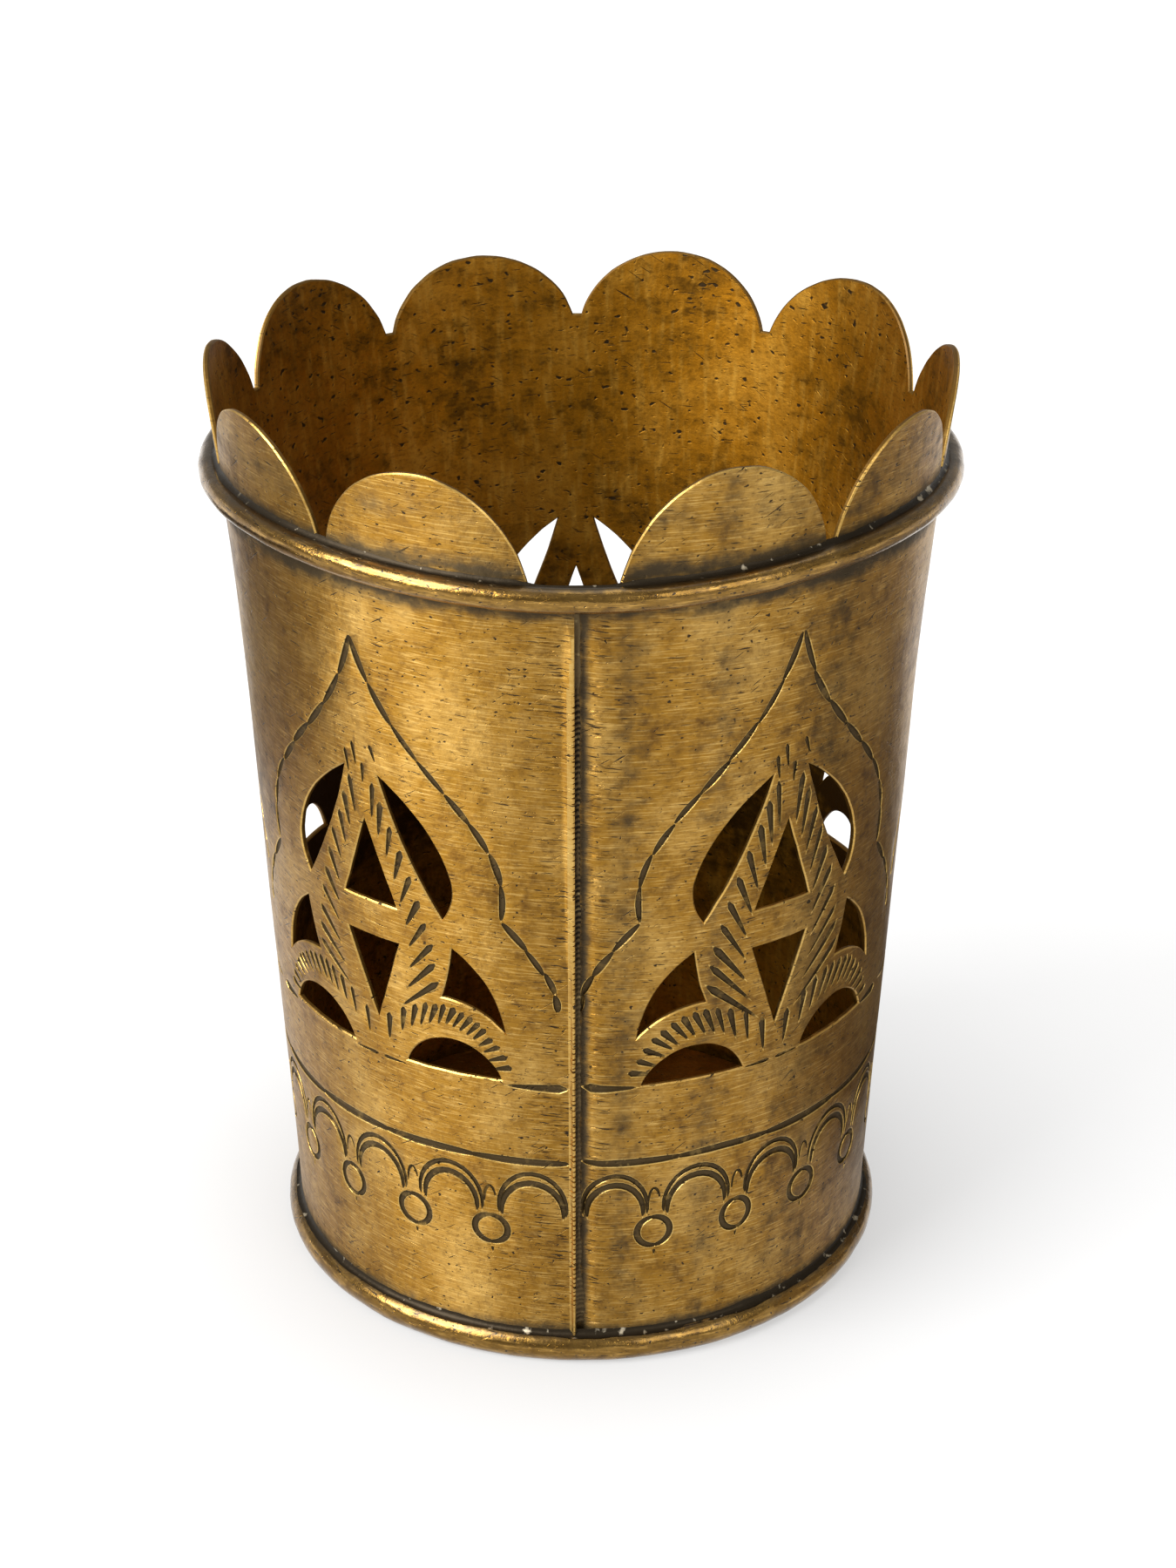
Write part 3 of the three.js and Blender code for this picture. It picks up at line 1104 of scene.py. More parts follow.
@dataclass(frozen=True)
class Arches:
    """The five arches round the wall."""

    motif: Motif = Motif()
    seam_margin: float = 1.6
    hands: tuple[Hand, ...] = (
        Hand(stretch=1.01, reach=1.7, rays=13),
        Hand(shift=-3.0, rise=3.0, left=0.86, right=0.78),
        Hand(shift=2.0, stretch=1.08),
        Hand(shift=4.5, rise=5.0, stretch=0.96, left=0.55, right=0.85),
        Hand(rise=0.4, stretch=0.985, right=0.94, reach=1.35, rays=15),
    )

    def middle(self, arch: int) -> float:
        """Gives the angle of an arch's middle."""
        pitch = (360.0 - self.seam_margin) / len(self.hands)
        return self.seam_margin / 2 + pitch * (arch + 0.5) + self.hands[arch].shift

    def between(self, arch: int) -> float:
        """Gives the angle halfway from the arch before to this one, or of the seam.

        Args:
            arch: the arch's number, or one past the last.

        Returns:
            The angle.
        """
        if arch in (0, len(self.hands)):
            return 0.0 if arch == 0 else 360.0
        return (self.middle(arch - 1) + self.middle(arch)) / 2

    def place(self, form: CupForm, arch: int, point: Point) -> Point:
        """Gives the place on the flat sheet of a point of an arch's motif.

        Args:
            form: the cup's form.
            arch: the arch's number.
            point: the point, across from the motif's middle and up from its base line.

        Returns:
            The place.
        """
        hand = self.hands[arch]
        wide = hand.left if point[0] < 0 else hand.right
        high = self.motif.base + hand.rise + point[1] * hand.stretch
        return form.beside(self.middle(arch), point[0] * wide, high)


@dataclass(frozen=True)
class Arcade:
    """The frieze under the arches: small double arcs, with a ring under each of their feet."""

    arcs: int = 23
    outer: Point = (3.55, 4.3)
    outer_z: float = 18.5
    outer_width: float = 0.6
    inner: Point = (3.1, 3.5)
    inner_z: float = 18.1
    inner_width: float = 0.8
    arc_turn: Point = (196.0, -16.0)
    arc_shake: float = 0.12
    ring_radius: float = 1.72
    ring_z: float = 15.5
    ring_width: float = 0.8
    ring_halves: Point = (-100.0, 80.0)
    ring_half_turn: float = 200.0
    ring_tilt: float = 20.0
    ring_shake: float = 0.1
    stem_z: float = 18.9
    stem_radius: float = 0.62
    stem_height: float = 1.9
    stem_width: float = 0.36
    stem_turn: Point = (190.0, 15.0)
    drop_across: float = 0.1
    drop_ends: Point = (0.5, 1.3)
    drop_width: float = 0.4
    drop_depth: float = 0.15
    crowding: tuple[float, ...] = (0.0, -1.4, -0.7, -0.4)

    def foot(self, number: int) -> float:
        """Gives the angle of a foot of the arcs, the first few of them set closer to the seam."""
        crowded = self.crowding[number] if number < len(self.crowding) else 0.0
        return number * 360.0 / self.arcs + crowded


@dataclass(frozen=True)
class Chasing:
    """How the graver was led over the wall, and how far the hand strayed."""

    width: float = 0.72
    depth: float = 0.26
    tip_width: float = 0.7
    row_shake: float = 0.13
    row_widths: Point = (0.9, 1.2)
    head_reach: float = 0.4
    ray_reach: float = 0.6
    bar_ease: float = 1.2
    ray_ease: float = 0.85
    arch_shake: float = 0.1
    arch_widths: Point = (0.9, 1.15)
    arch_overlap: float = 0.05
    line_ends: Point = (0.5, 0.45)
    upper_line: float = 33.3
    upper_widths: Point = (1.5, 0.6)
    upper_gap: float = 0.4
    upper_middle: float = 0.2
    clear_rise: float = 1.0
    lower_line: float = 24.3
    lower_strokes: int = 20
    lower_widths: Point = (1.15, 1.45)
    lower_overlap: float = 0.06
    lower_wander: float = 0.16
    wander_size: float = 11.0
    path_steps: int = 4
    bow_steps: int = 16
    bow_depth: float = 0.45


@dataclass(frozen=True)
class LapEdge:
    """The lapped edge: its burnished ridge, the notches in it and the file marks beside it."""

    ridge_width: float = 1.2
    ridge_height: float = 0.45
    ridge_top: float = 85.6
    ridge_taper: float = 4.5
    ridge_end: float = 0.3
    ridge_slim: float = 0.5
    slim_span: Point = (42.0, 60.0)
    width_wander: Point = (0.25, 6.0)
    height_wander: Point = (0.35, 2.5)
    crown: float = 0.2
    lip: float = 0.15
    lip_drop: float = 0.3
    # How wide the pale finish along the crest is: wear of the edge, with a painted highlight.
    crest_highlight: float = 0.8
    crest_highlight_taper: float = 12.0
    teeth_from: float = 7.0
    teeth_to: float = 76.0
    tooth_pitch: float = 0.58
    tooth_width: float = 0.26
    tooth_depth: float = 0.34
    tooth_reach: Point = (0.75, 0.3)
    reach_span: Point = (20.0, 50.0)
    tooth_past: float = 0.45
    tooth_slant: float = 0.12
    reach_spread: Point = (0.6, 1.15)
    width_spread: Point = (0.7, 1.2)
    pitch_spread: Point = (0.8, 1.2)
    tooth_lack: float = -0.32
    lack_size: float = 4.0
    file_marks: int = 230
    file_turns: tuple[int, int] = (3, 5)
    file_span: Point = (4.0, 84.0)
    file_reach: Point = (1.2, 4.2)
    file_shortening: float = 0.6
    file_widths: Point = (0.12, 0.24)
    file_start: float = 1.0
    file_shake: float = 0.8
    file_slant: float = 0.12
    file_depth: float = 0.07


# Tools


BOAT_POINT = 0.55
BAND_POINT = 0.3
TADPOLE_HEAD = 0.16


class Stroke(Enum):
    """The outline that a stroke of the graver leaves."""

    BOAT = "pointed at both ends"
    TADPOLE = "a blunt head and a long tail"
    BAND = "even, with short ends"

    def breadth(self, t: float) -> float:
        """Gives how broad the stroke is along its length.

        Args:
            t: the share of its length.

        Returns:
            The share of its width.
        """
        if self is Stroke.BOAT:
            return (4 * t * (1 - t)) ** BOAT_POINT
        if self is Stroke.BAND:
            return (4 * t * (1 - t)) ** BAND_POINT
        if t < TADPOLE_HEAD:
            return math.sqrt(t / TADPOLE_HEAD)
        return (1 - (t - TADPOLE_HEAD) / (1 - TADPOLE_HEAD)) ** BOAT_POINT


class Tool(Enum):
    """The section of a tool: for each point, its share of half the width and of the depth."""

    GRAVER = (
        (-1.35, 0.0), (-1.0, 0.15), (-0.72, 0.8), (0.0, 1.0), (0.72, 0.8), (1.0, 0.15), (1.35, 0.0),
    )
    FILE = ((-1.2, 0.0), (0.0, 1.0), (1.2, 0.0))


@dataclass(frozen=True)
class Cut:
    """One stroke of the graver on the flat sheet."""

    path: tuple[Point, ...]
    stroke: Stroke
    width: float
    depth: float
    tool: Tool = Tool.GRAVER
    finish: Face = Face.CHASED

    ROOM = 0.72
    SPARE = 0.02

    def box(self) -> Box:
        """Measures the room that the stroke takes.

        Returns:
            Its left, right, low and high sides.
        """
        room = self.ROOM * self.width + self.SPARE
        across = [x for x, _ in self.path]
        up = [y for _, y in self.path]
        return min(across) - room, max(across) + room, min(up) - room, max(up) + room


class Graver:
    """A cutter for grooves: a block whose underside takes the form of each stroke."""

    ABOVE = 0.5
    RIM = 0.02
    LEAST = 0.04
    DEPTH_EASE = 0.6
    TOUCH = 1e-6

    def __init__(self, tool: Tool, rows: int) -> None:
        """Models the block from a grid.

        Args:
            tool: the section of the groove.
            rows: how many steps it has along a stroke.
        """
        self.section = tool.value
        columns = len(self.section) - 1
        bpy.ops.object.select_all(action="DESELECT")
        bpy.ops.mesh.primitive_grid_add(x_subdivisions=rows, y_subdivisions=columns, size=1.0)
        block = bpy.context.object
        with edit_mode(block):
            bpy.ops.mesh.extrude_region_move(TRANSFORM_OT_translate={"value": (0.0, 0.0, 1.0)})
            bpy.ops.mesh.select_all(action="SELECT")
            bpy.ops.mesh.normals_make_consistent(inside=False)
        self.spots = [
            (v.co.x + 0.5, round((v.co.y + 0.5) * columns), v.co.z > 0.5)
            for v in block.data.vertices
        ]
        self.faces = [tuple(face.vertices) for face in block.data.polygons]
        bpy.data.objects.remove(block)

    def strike(self, cut: Cut) -> list[Vector]:
        """Bends the block along a stroke.

        Args:
            cut: the stroke.

        Returns:
            The block's vertices on the flat sheet.
        """
        points = []
        for t, column, top in self.spots:
            here, ahead = self.along(cut.path, t)
            share = cut.stroke.breadth(t)
            across, down = self.section[column]
            reach = across * max(share, self.LEAST) * cut.width / 2
            below = down * cut.depth * share ** self.DEPTH_EASE
            lift = self.ABOVE if top else self.RIM - below
            points.append(Vector((here[0] - ahead[1] * reach, here[1] + ahead[0] * reach, lift)))
        return points

    def along(self, path: tuple[Point, ...], t: float) -> tuple[Point, Point]:
        """Finds a place on a path and the way it heads there.

        Args:
            path: the path's points.
            t: the share of the way along.

        Returns:
            The place and the heading, one millimetre long.
        """
        last = len(path) - 1
        spot = t * last
        i = min(int(spot), last - 1)
        here = bezier(path[i:i + 2], spot - i)
        back = path[max(0, math.ceil(spot - self.TOUCH) - 1)]
        front = path[min(last, math.floor(spot + self.TOUCH) + 1)]
        run = Vector((front[0] - back[0], front[1] - back[1])).normalized()
        return here, (run.x, run.y)


class GraverSet:
    """The gravers and the file.

    They sort the strokes into cutters that don't cross themselves.
    """

    SHORT_ROWS = 6
    LONG_ROWS = 16
    FILE_ROWS = 4

    def __init__(self) -> None:
        """Models the tools."""
        self.short = Graver(Tool.GRAVER, self.SHORT_ROWS)
        self.long = Graver(Tool.GRAVER, self.LONG_ROWS)
        self.file = Graver(Tool.FILE, self.FILE_ROWS)

    def cutters(self, cuts: Sequence[Cut]) -> list[Object]:
        """Makes the cutters for all the strokes.

        Args:
            cuts: the strokes, in any order.

        Returns:
            The cutters, each of strokes that stay apart.
        """
        sets: list[tuple[list[Cut], list[Box]]] = []
        for cut in cuts:
            box = cut.box()
            for members, boxes in sets:
                if not any(self.meet(box, other) for other in boxes):
                    break
            else:
                members, boxes = [], []
                sets.append((members, boxes))
            members.append(cut)
            boxes.append(box)
        return [self.block(f"gravers_{i}", members) for i, (members, _) in enumerate(sets)]

    @staticmethod
    def meet(a: Box, b: Box) -> bool:
        """Tells whether two strokes' boxes overlap."""
        return a[0] < b[1] and b[0] < a[1] and a[2] < b[3] and b[2] < a[3]

    def block(self, name: str, cuts: Sequence[Cut]) -> Object:
        """Makes one cutter of strokes that stay apart.

        Args:
            name: the cutter's name.
            cuts: the strokes.

        Returns:
            The cutter.
        """
        points: list[Vector] = []
        faces: list[tuple[int, ...]] = []
        for cut in cuts:
            graver = self.short if len(cut.path) == 2 else self.long
            graver = self.file if cut.tool is Tool.FILE else graver
            start = len(points)
            points.extend(graver.strike(cut))
            faces.extend(tuple(start + i for i in face) for face in graver.faces)
        return mesh_object(name, points, faces)


# Pieces


@dataclass
class WallSheet:
    """The rolled, pierced and chased sheet."""

    form: CupForm
    lobes: Lobes = field(default_factory=Lobes)
    arches: Arches = field(default_factory=Arches)
    arcade: Arcade = field(default_factory=Arcade)
    chasing: Chasing = field(default_factory=Chasing)
    lap: LapEdge = field(default_factory=LapEdge)
    column_step: float = 1.5
    row_step: float = 2.5
    edge_columns: tuple[float, ...] = (0.1, 0.25, 0.45, 0.7, 1.0, 1.35)
    dip_columns: tuple[float, ...] = (0.0, 0.8, 1.6, 3.2, 4.2)
    spare_height: float = 1.0
    shears_height: float = 4.0
    chamfer: float = 0.13
    clear: float = 0.3
    sawn_wander: float = 0.06
    wander_size: float = 1.7
    sharp_angle: float = 25.0

    SEED = 7
    LOBE_SEED = 3.0
    UP_SEED = 9.0
    FACING = 0.5
    LEAST_MITER = 0.5

    def __post_init__(self) -> None:
        """Seeds the hand's unsteadiness and finds the places of the sheet's two ends."""
        self.random = random.Random(self.SEED)
        self.left = self.form.flat(-self.form.lap_angle, 0.0)[0]
        self.right = self.form.flat(360.0, 0.0)[0]

    def build(self, materials: dict[Face, Material]) -> Object:
        """Makes the sheet, from flat blank to rolled wall.

        Args:
            materials: the finish of each kind of face.

        Returns:
            The finished wall.
        """
        wall = self.blank(materials)
        self.cut(wall, self.shears(), materials[Face.SAWN])
        self.cut(wall, self.punches(), materials[Face.SAWN])
        gravers, strokes = GraverSet(), self.strokes()
        for finish in (Face.CHASED, Face.SAWN, Face.OUTSIDE):
            for cutter in gravers.cutters([cut for cut in strokes if cut.finish is finish]):
                self.cut(wall, cutter, materials[finish])
        with edit_mode(wall):
            bpy.ops.mesh.quads_convert_to_tris()
        self.keep_flat_map(wall)
        self.roll(wall)
        smooth(wall, self.sharp_angle)
        hand_in(wall, "wall_sheet")
        return wall

    def blank(self, materials: dict[Face, Material]) -> Object:
        """Cuts the flat sheet, with closer columns at the seam.

        Args:
            materials: the finish of each kind of face.

        Returns:
            The flat sheet.
        """
        form, lap = self.form, self.lap
        across, up = self.right - self.left, form.height + self.spare_height - form.lift
        bpy.ops.object.select_all(action="DESELECT")
        bpy.ops.mesh.primitive_grid_add(
            x_subdivisions=round(across / self.column_step),
            y_subdivisions=round(up / self.row_step),
            size=1.0,
        )
        sheet = bpy.context.object
        sheet.name = sheet.data.name = "wall_sheet_dressed"
        with edit_mode(sheet):
            bpy.ops.transform.resize(value=(across, up, 1.0))
            bpy.ops.transform.translate(value=(self.left + across / 2, form.lift + up / 2, 0.0))
            columns = [self.right - away for away in self.edge_columns]
            columns += [form.flat(angle, 0.0)[0] for angle in self.dip_columns]
            for x in columns:
                bpy.ops.mesh.select_all(action="SELECT")
                bpy.ops.mesh.bisect(plane_co=(x, 0.0, 0.0), plane_no=(1.0, 0.0, 0.0))
        apply_modifier(sheet, "SOLIDIFY", thickness=form.sheet, offset=-1.0)
        for face in Face:
            sheet.data.materials.append(materials[face])
        kinds = list(Face)
        # The outer face along the lap's crest takes the pale sawn finish: wear of the burnished
        # edge, and a painted highlight along the crest.
        crest_highlight_end = lap.ridge_top - lap.crest_highlight_taper
        for face in sheet.data.polygons:
            kind = Face.SAWN
            crest_highlight = lap.crest_highlight * smoothstep(face.center.y, lap.ridge_top, crest_highlight_end)
            if face.normal.z > self.FACING and face.center.x < self.right - crest_highlight:
                kind = Face.OUTSIDE
            if face.normal.z < -self.FACING:
                kind = Face.INSIDE
            face.material_index = kinds.index(kind)
        return sheet

    def cut(self, wall: Object, tool: Object, finish: Material) -> None:
        """Cuts the flat sheet with a tool, whose faces leave their finish.

        Args:
            wall: the flat sheet.
            tool: the tool, which is used up.
            finish: the finish of the cut faces.
        """
        tool.data.materials.append(finish)
        apply_modifier(wall, "BOOLEAN", operation="DIFFERENCE", object=tool, solver="MANIFOLD",
                       material_mode="TRANSFER")
        LOG.info("%s cut, %d faces", tool.name, len(wall.data.polygons))
        bpy.data.objects.remove(tool)

    def flared(self, name: str, loops: Sequence[Sequence[Point]]) -> Object:
        """Makes a punch that also breaks the edges of the holes that it cuts.

        Args:
            name: the punch's name.
            loops: the outline of each hole, counted anticlockwise.

        Returns:
            The punch.
        """
        spread = self.chamfer + self.clear
        levels = (
            (-self.form.sheet - self.clear, spread),
            (-self.form.sheet + self.chamfer, 0.0),
            (-self.chamfer, 0.0),
            (self.clear, spread),
        )
        points: list[Vector] = []
        faces: list[tuple[int, ...]] = []
        for loop in loops:
            count = len(loop)
            start = len(points)
            for w, wider in levels:
                points.extend(Vector((x, y, w)) for x, y in self.widened(loop, wider))
            for level in range(len(levels) - 1):
                low = start + level * count
                for i in range(count):
                    j = (i + 1) % count
                    faces.append((low + i, low + j, low + count + j, low + count + i))
            faces.append(tuple(start + i for i in reversed(range(count))))
            faces.append(tuple(start + (len(levels) - 1) * count + i for i in range(count)))
        return mesh_object(name, points, faces)

    def widened(self, loop: Sequence[Point], wider: float) -> list[Point]:
        """Moves a closed outline outwards.

        Args:
            loop: the outline, counted anticlockwise.
            wider: how far it moves.

        Returns:
            The wider outline.
        """
        moved = []
        for i, spot in enumerate(loop):
            ahead = (Vector(loop[(i + 1) % len(loop)]) - Vector(spot)).normalized()
            behind = (Vector(spot) - Vector(loop[i - 1])).normalized()
            out = Vector((ahead.y + behind.y, -ahead.x - behind.x)).normalized()
            miter = max(self.LEAST_MITER, out.x * ahead.y - out.y * ahead.x)
            moved.append((spot[0] + out.x * wider / miter, spot[1] + out.y * wider / miter))
        return moved

    def hand_sawn(self, loop: Sequence[Point], seed: float) -> list[Point]:
        """Lets a sawn line wander a little.

        Args:
            loop: the line's points.
            seed: which way it wanders.

        Returns:
            The sawn line.
        """
        sawn = []
        for x, y in loop:
            place = x / self.wander_size, y / self.wander_size
            across = self.sawn_wander * wander(*place, seed)
            up = self.sawn_wander * wander(*place, seed + self.UP_SEED)
            sawn.append((x + across, y + up))
        return sawn

    def shears(self) -> Object:
        """Makes the tool that cuts the top of the sheet to lobes.

        Returns:
            The tool.
        """
        line = self.hand_sawn(self.lobes.outline(self.form), self.LOBE_SEED)
        high = self.form.height + self.shears_height
        return self.flared("shears", [line + [(line[-1][0], high), (line[0][0], high)]])

    def punches(self) -> Object:
        """Makes the tools that pierce the windows of all the arches.

        Returns:
            The tools, as one object.
        """
        loops = []
        for arch in range(len(self.arches.hands)):
            for window in self.arches.motif.windows():
                loop = [self.arches.place(self.form, arch, point) for point in window]
                loops.append(self.hand_sawn(loop, self.arches.middle(arch)))
        return self.flared("punches", loops)

    def shaken(self, point: Point, amount: float) -> Point:
        """Moves a point a little at random, as a hand does."""
        return (point[0] + self.random.uniform(-amount, amount),
                point[1] + self.random.uniform(-amount, amount))

    def groove(self, path: Sequence[Point], stroke: Stroke, share: float) -> Cut:
        """Gives a stroke of the usual depth, some share of the usual width wide."""
        return Cut(tuple(path), stroke, self.chasing.width * share, self.chasing.depth)

    def strokes(self) -> list[Cut]:
        """Lists every stroke of the graver and the file on the wall.

        Returns:
            The strokes.
        """
        cuts = self.lines() + self.frieze() + self.teeth() + self.filing()
        chasing, motif = self.chasing, self.arches.motif
        bars = motif.bar_heads, motif.bar_tails, motif.bar_strokes, chasing.bar_ease
        for arch, hand in enumerate(self.arches.hands):
            rays = motif.ray_heads, motif.ray_tails, hand.rays, chasing.ray_ease
            ray_reach = mix(1.0, hand.reach, chasing.ray_reach)
            for side in (-1, 1):
                cuts += self.row(*bars, hand.reach, arch, side)
                cuts += self.row(*rays, ray_reach, arch, side)
                cuts += self.arch_line(arch, side)
            for tip in motif.tips:
                ends = [self.arches.place(self.form, arch, point) for point in tip]
                cuts.append(self.groove(ends, Stroke.TADPOLE, chasing.tip_width))
        return cuts

    def row(self, heads: Curve, tails: Curve, count: int, ease: float, reach: float, arch: int,
            side: int) -> list[Cut]:
        """Sets a row of tadpole strokes from one curve towards another.

        Args:
            heads: the curve that the strokes' heads follow.
            tails: the curve that tails of the plain length follow.
            count: how many strokes there are.
            ease: over 1 to set them closer at the start, under 1 at the end.
            reach: how long the strokes are for that length.
            arch: the arch's number.
            side: 1 right of the middle, -1 left of it.

        Returns:
            The strokes.
        """
        cuts, chasing = [], self.chasing
        head_reach = mix(1.0, reach, chasing.head_reach)
        for i in range(count):
            t = (i / (count - 1)) ** ease
            head, tail = bezier(heads, t), bezier(tails, t)
            ends = []
            for spot in (bezier((tail, head), head_reach), bezier((head, tail), reach)):
                across, up = self.shaken(spot, chasing.row_shake)
                ends.append(self.arches.place(self.form, arch, (side * across, up)))
            share = self.random.uniform(*chasing.row_widths)
            cuts.append(self.groove(ends, Stroke.TADPOLE, share))
        return cuts

    def arch_line(self, arch: int, side: int) -> list[Cut]:
        """Lists the strokes along one side of an arch, end to end.

        Args:
            arch: the arch's number.
            side: 1 right of the middle, -1 left of it.

        Returns:
            The strokes.
        """
        cuts, chasing, motif = [], self.chasing, self.arches.motif
        for curve, count in zip(motif.arch, motif.arch_strokes):
            for i in range(count):
                slip = self.shaken((0.0, 0.0), chasing.arch_shake)
                points = []
                for share in self.shares(i, count, chasing.arch_overlap):
                    across, up = bezier(curve, share)
                    spot = side * (across + slip[0]), up + slip[1]
                    points.append(self.arches.place(self.form, arch, spot))
                width = self.random.uniform(*chasing.arch_widths)
                cuts.append(self.groove(points, Stroke.BOAT, width))
        return cuts

    def shares(self, number: int, count: int, overlap: float) -> list[float]:
        """Divides one stroke of a line that is cut stroke by stroke.

        Args:
            number: the stroke's number.
            count: how many strokes the line has.
            overlap: how far each stroke runs into the next, as a share of its length.

        Returns:
            The places of the stroke's points, as shares of the line.
        """
        steps = self.chasing.path_steps
        run = 1 + 2 * overlap
        places = [(number - overlap + run * step / steps) / count for step in range(steps + 1)]
        return [min(1.0, max(0.0, place)) for place in places]

    def lines(self) -> list[Cut]:
        """Lists the strokes of the two lines round the wall.

        Returns:
            The strokes.
        """
        cuts, chasing, motif = [], self.chasing, self.arches.motif
        moon, half = motif.moon_middle, motif.moon_chord / 2
        stops = moon + half, chasing.upper_middle, moon - half
        first, last = chasing.line_ends[0], self.right - chasing.line_ends[1]
        for arch, hand in enumerate(self.arches.hands):
            for side in (-1, 1):
                between = self.arches.between(arch + (side + 1) // 2)
                edge = self.form.flat(between, 0.0)[0] - chasing.upper_gap * side
                outer, middle, inner = (
                    self.arches.place(self.form, arch, (side * across, 0.0))[0] for across in stops
                )
                if hand.rise > chasing.clear_rise:
                    outer = inner = middle
                runs = (edge, outer), (middle, inner)
                for (start, end), width in zip(runs, chasing.upper_widths):
                    if start == end:
                        continue
                    ends = [(min(max(x, first), last), chasing.upper_line) for x in (start, end)]
                    cuts.append(self.groove(ends, Stroke.TADPOLE, width))
        for i in range(chasing.lower_strokes):
            path = []
            for share in self.shares(i, chasing.lower_strokes, chasing.lower_overlap):
                x = mix(first, last, share)
                stray = chasing.lower_wander * wander(x / chasing.wander_size, 0.0, seed=4.0)
                path.append((x, chasing.lower_line + stray))
            width = self.random.uniform(*chasing.lower_widths)
            cuts.append(self.groove(path, Stroke.BAND, width))
        return cuts

    def frieze(self) -> list[Cut]:
        """Lists the strokes of the arcade.

        Returns:
            The strokes.
        """
        arcade, cuts = self.arcade, []
        for arc in range(arcade.arcs):
            left, right = arcade.foot(arc), arcade.foot(arc + 1)
            middle, squeeze = (left + right) / 2, (right - left) * arcade.arcs / 360.0
            for size, z, width in (
                (arcade.outer, arcade.outer_z, arcade.outer_width),
                (arcade.inner, arcade.inner_z, arcade.inner_width),
            ):
                wide, tall = self.shaken(size, arcade.arc_shake)
                cuts.append(self.bow(middle, z, (wide * squeeze, tall), arcade.arc_turn, width))
        for foot in range(1, arcade.arcs):
            middle = arcade.foot(foot)
            ring = self.shaken((arcade.ring_radius, arcade.ring_radius), arcade.ring_shake)
            tilt = self.random.uniform(-arcade.ring_tilt, arcade.ring_tilt)
            for half in arcade.ring_halves:
                turn = tilt + half + arcade.ring_half_turn, tilt + half
                cuts.append(self.bow(middle, arcade.ring_z, ring, turn, arcade.ring_width))
            stem = arcade.stem_radius, arcade.stem_height
            cuts.append(self.bow(middle, arcade.stem_z, stem, arcade.stem_turn, arcade.stem_width))
            low = arcade.ring_z - arcade.ring_radius
            ends = [self.form.beside(middle, arcade.drop_across, low - d) for d in arcade.drop_ends]
            cuts.append(Cut(tuple(ends), Stroke.TADPOLE, arcade.drop_width, arcade.drop_depth))
        return cuts

    def bow(self, middle: float, z: float, size: Point, turn: Point, width: float) -> Cut:
        """Draws one bowed stroke.

        Args:
            middle: the angle of its middle on the wall.
            z: the height of its middle.
            size: half its breadth and half its height.
            turn: where the bow starts and ends, in degrees from its right.
            width: the width of the groove.

        Returns:
            The stroke.
        """
        wide, tall = size
        steps = self.chasing.bow_steps
        path = []
        for step in range(steps + 1):
            angle = math.radians(mix(*turn, step / steps))
            high = z + tall * math.sin(angle)
            path.append(self.form.beside(middle, wide * math.cos(angle), high))
        depth = min(self.chasing.depth, self.chasing.bow_depth * width)
        return Cut(tuple(path), Stroke.BAND, width, depth)

    def teeth(self) -> list[Cut]:
        """Lists the notches along the lapped edge, longer towards the foot.

        Returns:
            The strokes.
        """
        cuts, lap = [], self.lap
        z = lap.teeth_from
        while z < lap.teeth_to:
            reach = mix(*lap.tooth_reach, smoothstep(z, *lap.reach_span))
            reach *= self.random.uniform(*lap.reach_spread)
            slant = self.random.uniform(-lap.tooth_slant, lap.tooth_slant)
            width = lap.tooth_width * self.random.uniform(*lap.width_spread)
            path = (self.right + lap.tooth_past, z), (self.right - reach, z + slant)
            if wander(z / lap.lack_size, 0.0, seed=8.0) > lap.tooth_lack:
                cuts.append(Cut(path, Stroke.TADPOLE, width, lap.tooth_depth, Tool.FILE, Face.SAWN))
            z += lap.tooth_pitch * self.random.uniform(*lap.pitch_spread)
        return cuts

    def filing(self) -> list[Cut]:
        """Lists the marks that a file left across the seam, on both sides of it.

        Returns:
            The strokes.
        """
        cuts, lap = [], self.lap
        left_marks, marks = lap.file_turns
        for i in range(lap.file_marks):
            z = mix(*lap.file_span, self.random.random())
            reach = self.random.uniform(*lap.file_reach)
            reach *= mix(1.0, lap.file_shortening, z / lap.file_span[1])
            near, heading = lap.file_start, 1
            if i % marks < left_marks:
                near, heading = self.right - lap.file_start, -1
            near += heading * self.random.uniform(0.0, lap.file_shake)
            slant = self.random.uniform(-lap.file_slant, lap.file_slant)
            path = (near, z), (near + heading * reach, z + slant)
            width = self.random.uniform(*lap.file_widths)
            cuts.append(Cut(path, Stroke.TADPOLE, width, lap.file_depth, Tool.FILE, Face.OUTSIDE))
        return cuts

    def keep_flat_map(self, wall: Object) -> None:
        """Keeps each place on the flat sheet, and its depth below the outer face, for the finish.

        Args:
            wall: the flat sheet.
        """
        mesh = wall.data
        depth = mesh.attributes.new("depth", "FLOAT", "POINT")
        depth.data.foreach_set("value", [-v.co.z for v in mesh.vertices])
        sheet_map = mesh.uv_layers.new(name="sheet")
        for loop in mesh.loops:
            spot = mesh.vertices[loop.vertex_index].co
            sheet_map.data[loop.index].uv = (spot.x / MAP_UNIT, spot.y / MAP_UNIT)

    def roll(self, wall: Object) -> None:
        """Rolls the flat sheet up and raises the lapped edge.

        Args:
            wall: the flat sheet.
        """
        form = self.form
        for v in wall.data.vertices:
            x, z, w = v.co
            angle = math.degrees(x / form.shoulder_radius)
            outer = max(0.0, 1.0 + w / form.sheet)
            radius = form.radius(z) + w - form.dip(angle) + form.buckle(angle, z)
            v.co = form.polar(angle, radius + outer * self.ridge(x, z), z)

